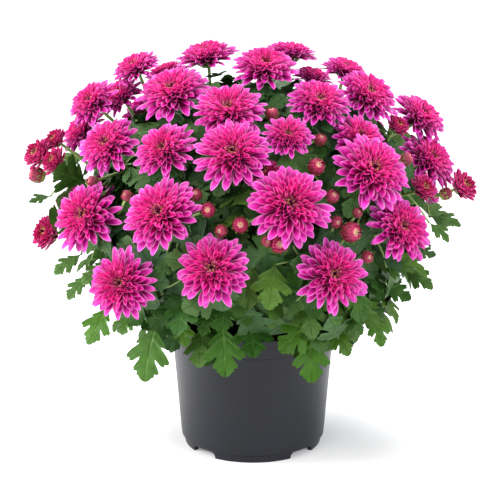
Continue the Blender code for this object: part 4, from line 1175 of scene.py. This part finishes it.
leaf_skin, tree, shader = new_material("chrysanthemum_leaf")
lie = node(tree, "ShaderNodeSeparateXYZ", {"Vector": node(tree, "ShaderNodeUVMap", uv_map="blade").outputs["UV"]})
light = node(tree, "ShaderNodeSeparateXYZ", {"Vector": node(tree, "ShaderNodeUVMap", uv_map="light").outputs["UV"]})
place = node(tree, "ShaderNodeTexCoord").outputs["Object"]
blade = node(
    tree, "ShaderNodeMix",
    {"Factor": light.outputs["X"], "A": linear(LEAF_SHADE), "B": linear(LEAF_SUN)}, data_type="RGBA",
)
vein_colour = node(
    tree, "ShaderNodeMix",
    {"Factor": light.outputs["X"], "A": linear(VEIN_SHADE), "B": linear(VEIN_SUN)}, data_type="RGBA",
)
patches = node(tree, "ShaderNodeTexNoise", {"Vector": place, "Scale": 1 / (7 * MM), "Detail": 5, "Roughness": 0.65})
mottle = node(tree, "ShaderNodeMapRange", {"Value": patches.outputs["Fac"], "To Min": 0.45, "To Max": 1.55})
mottled = node(
    tree, "ShaderNodeHueSaturation",
    {"Hue": 0.5, "Saturation": 1.0, "Value": mottle.outputs["Result"], "Color": blade.outputs["Result"]},
)
warmth = node(tree, "ShaderNodeMapRange", {"Value": light.outputs["Y"], "To Min": 0.475, "To Max": 0.515})
strength = node(tree, "ShaderNodeMapRange", {"Value": light.outputs["Y"], "To Min": 1.22, "To Max": 0.74})
own_green = node(
    tree, "ShaderNodeHueSaturation",
    {"Hue": warmth.outputs["Result"], "Saturation": 1.0, "Value": strength.outputs["Result"],
     "Color": mottled.outputs["Color"]},
)
from_rib = node(tree, "ShaderNodeMath", {0: lie.outputs["Y"], 1: 0.5}, operation="SUBTRACT")
off_rib = node(tree, "ShaderNodeMath", {0: from_rib.outputs[0]}, operation="ABSOLUTE")
rib = node(
    tree, "ShaderNodeMapRange", {"Value": off_rib.outputs[0], "From Min": 0.0, "From Max": 0.045, "To Min": 1, "To Max": 0},
)
side_veins = node(
    tree, "ShaderNodeValToRGB", {"Fac": lie.outputs["X"]},
    stops=tuple(stop for row in VEIN_ROWS for stop in (
        ((row - 0.35) / 26, "#000000"), (row / 26, "#b4b4b4"), ((row + 0.35) / 26, "#000000"),
    )),
)
veins = node(tree, "ShaderNodeMath", {0: rib.outputs["Result"], 1: side_veins.outputs["Color"]}, operation="MAXIMUM")
vein_share = node(tree, "ShaderNodeMath", {0: veins.outputs[0], 1: 0.5}, operation="MULTIPLY")
veined = node(
    tree, "ShaderNodeMix",
    {"Factor": vein_share.outputs[0], "A": own_green.outputs["Color"], "B": vein_colour.outputs["Result"]},
    data_type="RGBA",
)
relief = node(tree, "ShaderNodeBump", {"Height": patches.outputs["Fac"], "Strength": 0.8, "Distance": 1.2 * MM})
# The veins lie a little sunk in the blade
creases = node(
    tree, "ShaderNodeBump",
    {"Height": veins.outputs[0], "Strength": 0.9, "Distance": 1.0 * MM, "Normal": relief.outputs["Normal"]},
    invert=True,
)
tree.links.new(veined.outputs["Result"], shader.inputs["Base Color"])
tree.links.new(creases.outputs["Normal"], shader.inputs["Normal"])
shader.inputs["Roughness"].default_value = 0.45
shader.inputs["IOR"].default_value = 1.42
shader.inputs["Specular IOR Level"].default_value = 0.22
shader.inputs["Subsurface Weight"].default_value = 0.12
shader.inputs["Subsurface Radius"].default_value = (0.4, 1.0, 0.2)
shader.inputs["Subsurface Scale"].default_value = 1.5 * MM

# %% Leaf pieces
leaf_total = 0
for plant, name in enumerate(PLANTS):
    bm = bmesh.new()
    maps = bm.loops.layers.uv.new("blade"), bm.loops.layers.uv.new("light")
    for number, leaf in enumerate(leaves):
        if leaf["plant"] == plant:
            add_leaf(bm, maps, leaf, 3000 + number)
    piece = add_piece(f"leaves_{name}", bm, [leaf_skin], [f"plant_{name}"])
    leaf_total += triangles(piece)
print("leaves:", len(leaves), "leaves,", leaf_total, "triangles")

# %% [markdown]
# The stems are soft and green, slightly ribbed, and woody only at the very bottom. Each is a tube drawn through its
# line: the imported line's corners are cut twice, which rounds them while keeping the stem in its packed
# place. Under a bloom the tube flares into a cup of overlapping green bracts.

# %% Stems
def rounded(line):
    """A line with its corners cut at a quarter and three quarters of each step, its two ends kept."""
    cut = [line[0]]
    for a, b in zip(line, line[1:]):
        cut += [a.lerp(b, 0.25), a.lerp(b, 0.75)]
    return cut + [line[-1]]


def graft(bm, small):
    """Adds a small bmesh to a large one. Operators slow down in a large bmesh, so hundreds of tubes are made apart."""
    mesh = bpy.data.meshes.new("graft")
    small.to_mesh(mesh)
    small.free()
    bm.from_mesh(mesh)
    bpy.data.meshes.remove(mesh)


def add_tube(bm, line, radii, sides):
    """Adds a tube along a bent line, with a radius for each of its points. Its sections follow without a twist."""
    tube = bmesh.new()
    rings = []
    before = line[1] - line[0]
    turn = before.to_track_quat("Z", "Y")
    for k, (point, radius) in enumerate(zip(line, radii, strict=True)):
        way = line[min(k + 1, len(line) - 1)] - line[max(k - 1, 0)]
        turn = before.rotation_difference(way) @ turn
        before = way
        place = Matrix.Translation(point) @ turn.to_matrix().to_4x4()
        ring = bmesh.ops.create_circle(tube, segments=sides, radius=radius, matrix=place, cap_ends=k in (0, len(line) - 1))
        rings.append({edge for v in ring["verts"] for edge in v.link_edges})
    for below, above in zip(rings, rings[1:]):
        bmesh.ops.bridge_loops(tube, edges=list(below | above))
    bmesh.ops.recalc_face_normals(tube, faces=tube.faces)
    graft(bm, tube)


def tapered(count, low, high):
    """A list of radii from low to high."""
    return [low + (high - low) * k / (count - 1) for k in range(count)]


STEM_SIDES = 8
STEM_GREEN, STEM_PALE, STEM_WOOD = "#5d7f35", "#9db56a", "#6d5a3a"

stem_skin, tree, shader = new_material("green_plant_stem")
place = node(tree, "ShaderNodeTexCoord").outputs["Object"]
height = node(tree, "ShaderNodeSeparateXYZ", {"Vector": place})
streaks = node(tree, "ShaderNodeTexNoise", {"Vector": place, "Scale": 1 / (5 * MM), "Detail": 4})
green = node(
    tree, "ShaderNodeMix", {"Factor": streaks.outputs["Fac"], "A": linear(STEM_GREEN), "B": linear(STEM_PALE)},
    data_type="RGBA",
)
age = node(
    tree, "ShaderNodeMapRange",
    {"Value": height.outputs["Z"], "From Min": SOIL_LEVEL, "From Max": PINCH_HEIGHT + 20 * MM, "To Min": 1, "To Max": 0},
)
aged = node(
    tree, "ShaderNodeMix", {"Factor": age.outputs["Result"], "A": green.outputs["Result"], "B": linear(STEM_WOOD)},
    data_type="RGBA",
)
relief = node(tree, "ShaderNodeBump", {"Height": streaks.outputs["Fac"], "Strength": 0.4, "Distance": 0.4 * MM})
tree.links.new(aged.outputs["Result"], shader.inputs["Base Color"])
tree.links.new(relief.outputs["Normal"], shader.inputs["Normal"])
shader.inputs["Roughness"].default_value = 0.5
shader.inputs["Subsurface Weight"].default_value = 0.1
shader.inputs["Subsurface Scale"].default_value = 1 * MM


def add_bracts(bm, centre, axis, radius, count, length, spread):
    """Adds a ring of small pointed bracts that clasp a cup or a bud from below."""
    for k in range(count):
        azimuth = math.tau * k / count
        petal = bmesh.ops.create_grid(bm, x_segments=3, y_segments=2, size=0.5)
        for v in petal["verts"]:
            along, across = v.co.x + 0.5, -2 * v.co.y
            reach = radius * (0.55 + spread * along + 0.06 * across * across)
            half = 1.15 * math.pi / count * (1 - along**2 * 0.9)
            turn = azimuth + half * across
            v.co = Vector((reach * math.cos(turn), reach * math.sin(turn), radius * -0.2 + length * along))
        bmesh.ops.transform(bm, matrix=facing(centre, axis), verts=petal["verts"])


stem_total = 0
for plant, name in enumerate(PLANTS):
    bm = bmesh.new()
    x, y = crown(plant)
    foot, top = Vector((x, y, SOIL_LEVEL - SOIL_DEPTH)), Vector((x, y, PINCH_HEIGHT + 4 * MM))
    add_tube(bm, [foot, foot.lerp(top, 0.5), top], [STEM_RADIUS, STEM_RADIUS, STEM_RADIUS * 0.8], 10)
    for shoot in shoots:
        if shoot["plant"] != plant:
            continue
        line = rounded(rounded(shoot["line"]))
        cup = CALYX_RADIUS * shoot["bloom"]["radius"]
        slim = tapered(len(line) - 4, SHOOT_RADIUS * 1.15, SHOOT_RADIUS * 0.8)
        add_tube(bm, line, slim + [cup * 0.55, cup * 0.9, cup * 1.25, cup * 1.4], STEM_SIDES)
        add_bracts(bm, line[-1], shoot["bloom"]["axis"], cup * 1.7, 9, cup * 1.1, 0.75)
    for bud in buds:
        if bud["plant"] == plant:
            line = rounded(rounded(bud["line"]))
            add_tube(bm, line, tapered(len(line), SHOOT_RADIUS * 0.8, SHOOT_RADIUS * 0.7), 6)
    for leaf in leaves:
        if leaf["plant"] == plant and leaf["stalk"]:
            line = rounded(rounded(leaf["stalk"]))
            add_tube(bm, line, [PETIOLE_RADIUS] * len(line), 6)
    piece = add_piece(f"stems_{name}", bm, [stem_skin], [f"plant_{name}"])
    stem_total += triangles(piece)
print("stems:", stem_total, "triangles")

# %% [markdown]
# A bud shows what the bloom will be: a tight ball of crimson petals folded over each other towards a pale
# yellow-green middle, held in a cup of green bracts. Each is a rounded core with three rings of petals laid on it.

# %% Buds
# How far over the top a ring's petals reach, how far out they lie, how many there are, and their width
BUD_RINGS = ((0.78, 1.05, 13, 0.94), (0.92, 0.98, 10, 0.92), (1.00, 0.91, 7, 0.92))
BUD_CRIMSON, BUD_EDGE, BUD_MIDDLE, BUD_GREEN, BUD_UNRIPE = "#68001e", "#c43468", "#ead9a6", "#8a9c4c", "#90484e"

bud_petal, tree, shader = new_material("folded_bud_petal")
lie = node(tree, "ShaderNodeSeparateXYZ", {"Vector": node(tree, "ShaderNodeUVMap", uv_map="petal").outputs["UV"]})
age = node(tree, "ShaderNodeSeparateXYZ", {"Vector": node(tree, "ShaderNodeUVMap", uv_map="shade").outputs["UV"]})
along_bud = node(
    tree, "ShaderNodeValToRGB", {"Fac": lie.outputs["Y"]},
    stops=((0.0, BUD_GREEN), (0.22, BUD_CRIMSON), (0.66, BUD_CRIMSON), (0.86, BUD_EDGE), (0.97, BUD_MIDDLE)),
)
ripened = node(
    tree, "ShaderNodeMix", {"Factor": age.outputs["X"], "A": linear(BUD_UNRIPE), "B": along_bud.outputs["Color"]},
    data_type="RGBA",
)
strand = node(tree, "ShaderNodeCombineXYZ", {"X": lie.outputs["X"], "Y": lie.outputs["Y"], "Z": age.outputs["Y"]})
drawn_out = node(tree, "ShaderNodeVectorMath", {0: strand.outputs["Vector"], 1: (7, 1.5, 60)}, operation="MULTIPLY")
streaks = node(tree, "ShaderNodeTexNoise", {"Vector": drawn_out.outputs["Vector"], "Scale": 1, "Detail": 2})
streak_share = node(
    tree, "ShaderNodeMapRange", {"Value": streaks.outputs["Fac"], "From Min": 0.50, "From Max": 0.68, "To Max": 0.55},
)
streaked = node(
    tree, "ShaderNodeMix",
    {"Factor": streak_share.outputs["Result"], "A": ripened.outputs["Result"], "B": linear(BUD_EDGE)}, data_type="RGBA",
)
from_rib = node(tree, "ShaderNodeMath", {0: lie.outputs["X"], 1: 0.5}, operation="SUBTRACT")
off_rib = node(tree, "ShaderNodeMath", {0: from_rib.outputs[0]}, operation="ABSOLUTE")
rim = node(tree, "ShaderNodeMapRange", {"Value": off_rib.outputs[0], "From Min": 0.36, "From Max": 0.5, "To Max": 0.6})
edged = node(
    tree, "ShaderNodeMix", {"Factor": rim.outputs["Result"], "A": streaked.outputs["Result"], "B": linear(BUD_EDGE)},
    data_type="RGBA",
)
tree.links.new(edged.outputs["Result"], shader.inputs["Base Color"])
shader.inputs["Roughness"].default_value = 0.5
shader.inputs["Subsurface Weight"].default_value = 0.1
shader.inputs["Subsurface Scale"].default_value = 1 * MM


def add_bud(bm, maps, bud, seed):
    """Adds a bud's core and its rings of folded petals. The smallest buds are the least ripe."""
    draw = random.Random(seed)
    petal_map, shade_map = maps
    ripeness = min(1, max(0.55, (bud["radius"] / MM - 3.6) / 2.6))
    place = facing(bud["centre"], bud["axis"], draw.uniform(0, math.tau))
    radius = bud["radius"]
    core = bmesh.ops.create_uvsphere(
        bm, u_segments=10, v_segments=6, radius=0.86 * radius, matrix=place @ Matrix.Diagonal((1, 1, 1.1, 1)),
    )
    for face in {face for v in core["verts"] for face in v.link_faces}:
        for loop in face.loops:
            loop[petal_map].uv = (0.5, 0.90)
            loop[shade_map].uv = (ripeness, 0.5)
    for ring, (reach, swell, count, width) in enumerate(BUD_RINGS):
        for k in range(count):
            azimuth = math.tau * (k + 0.5 * ring) / count + draw.uniform(-0.08, 0.08)
            flare, tone = draw.uniform(0.0, 0.22 - 0.08 * ring), draw.random()
            petal = bmesh.ops.create_grid(bm, x_segments=6, y_segments=4, size=0.5)
            spots = {}
            for v in petal["verts"]:
                along, across = v.co.x + 0.5, -2 * v.co.y
                climb = math.radians(-40 + 122 * reach * along)
                half = width * math.pi / count * (1.25 - 0.3 * along)
                turn = azimuth + half * across + 0.35 * along
                shell = radius * (swell + (0.04 + flare) * along**4 - 0.11 * across * across)
                v.co = Vector((
                    shell * math.cos(climb) * math.cos(turn), shell * math.cos(climb) * math.sin(turn),
                    1.1 * shell * math.sin(climb),
                ))
                spots[v] = (0.5 + across / 2, along * (0.84 + 0.08 * ring))
            for face in {face for v in petal["verts"] for face in v.link_faces}:
                for loop in face.loops:
                    loop[petal_map].uv = spots[loop.vert]
                    loop[shade_map].uv = (ripeness, tone)
            bmesh.ops.transform(bm, matrix=place, verts=petal["verts"])


bud_total = 0
for plant, name in enumerate(PLANTS):
    own = [bud for bud in buds if bud["plant"] == plant]
    if not own:
        continue
    bm = bmesh.new()
    maps = bm.loops.layers.uv.new("petal"), bm.loops.layers.uv.new("shade")
    for number, bud in enumerate(own):
        add_bud(bm, maps, bud, 5000 + 20 * plant + number)
    piece = add_piece(f"buds_{name}", bm, [bud_petal], [f"plant_{name}"])
    cups = bmesh.new()
    for bud in own:
        foot = bud["centre"] - bud["axis"] * 0.75 * bud["radius"]
        add_bracts(cups, foot, bud["axis"], bud["radius"] * 1.0, 9, bud["radius"] * 1.25, 0.62)
    add_piece(f"bud_cups_{name}", cups, [stem_skin], [f"plant_{name}"])
    bud_total += triangles(piece)
print("buds:", bud_total, "triangles")

# %% [markdown]
# The plant stands on a seamless pale floor, as on a product photograph. The floor isn't part of the object. It
# glows a little by itself, a painted light that is weakest near the pot and grows the farther the floor lies, so
# that it runs into the white behind it. A large soft light from the upper left in front shapes the blooms and lays
# the soft shadow to the right of the pot, a weaker one from the right opens the shadows, and the bright
# surroundings do the rest.

# %% Studio floor
floor_mesh = bmesh.new()
bmesh.ops.create_grid(floor_mesh, x_segments=1, y_segments=1, size=30)
floor_data = bpy.data.meshes.new("studio_floor")
floor_mesh.to_mesh(floor_data)
floor_mesh.free()
floor = bpy.data.objects.new("studio_floor", floor_data)
bpy.context.scene.collection.objects.link(floor)
floor_paint, tree, shader = new_material("glowing_studio_floor")
place = node(tree, "ShaderNodeTexCoord").outputs["Object"]
fibres = node(tree, "ShaderNodeTexNoise", {"Vector": place, "Scale": 1 / (3 * MM), "Detail": 2})
tint = node(tree, "ShaderNodeValToRGB", {"Fac": fibres.outputs["Fac"]}, stops=((0.3, "#eeeeef"), (0.7, "#f2f2f3")))
tree.links.new(tint.outputs["Color"], shader.inputs["Base Color"])
shader.inputs["Roughness"].default_value = 0.9
# Painted light: the floor glows by itself, weakest near the pot and stronger the farther it lies.
shader.inputs["Emission Color"].default_value = linear("#ffffff")
away = node(tree, "ShaderNodeVectorMath", {0: place}, operation="LENGTH")
glow = node(
    tree, "ShaderNodeMapRange",
    {"Value": away.outputs["Value"], "From Min": 0.25, "From Max": 3.0, "To Min": 0.20, "To Max": 0.85},
)
tree.links.new(glow.outputs["Result"], shader.inputs["Emission Strength"])
floor_data.materials.append(floor_paint)

# %% Studio light
def add_softbox(name, place, target, width, watts, colour):
    """A square soft light that faces a point."""
    light = bpy.data.lights.new(name, "AREA")
    light.shape = "SQUARE"
    light.size = width
    light.energy = watts
    light.color = linear(colour)[:3]
    lamp = bpy.data.objects.new(name, light)
    lamp.location = place
    lamp.rotation_euler = (Vector(target) - Vector(place)).to_track_quat("-Z", "Y").to_euler()
    bpy.context.scene.collection.objects.link(lamp)
    return lamp


add_softbox("key_softbox", (-1.0, -1.2, 1.9), (0, 0, 0.22), 1.8, 60, "#fffaf4")
add_softbox("top_softbox", (0.0, 0.9, 2.0), (0, 0, 0.2), 1.0, 46, "#ffffff")
add_softbox("side_softbox", (-1.5, -0.1, 0.4), (0, 0, 0.15), 0.7, 25, "#f4f8ff")
add_softbox("fill_softbox", (1.5, -1.0, 1.0), (0, 0, 0.2), 1.2, 25, "#f4f8ff")
world = bpy.data.worlds.new("white_studio")
world.use_nodes = True
tree = world.node_tree
seen = node(tree, "ShaderNodeLightPath").outputs["Is Camera Ray"]
strength = node(tree, "ShaderNodeMapRange", {"Value": seen, "To Min": 0.42, "To Max": 1.0})
backdrop = tree.nodes["Background"]
backdrop.inputs["Color"].default_value = linear("#ffffff")
tree.links.new(strength.outputs["Result"], backdrop.inputs["Strength"])
bpy.context.scene.world = world
bpy.context.scene.view_settings.view_transform = "Standard"
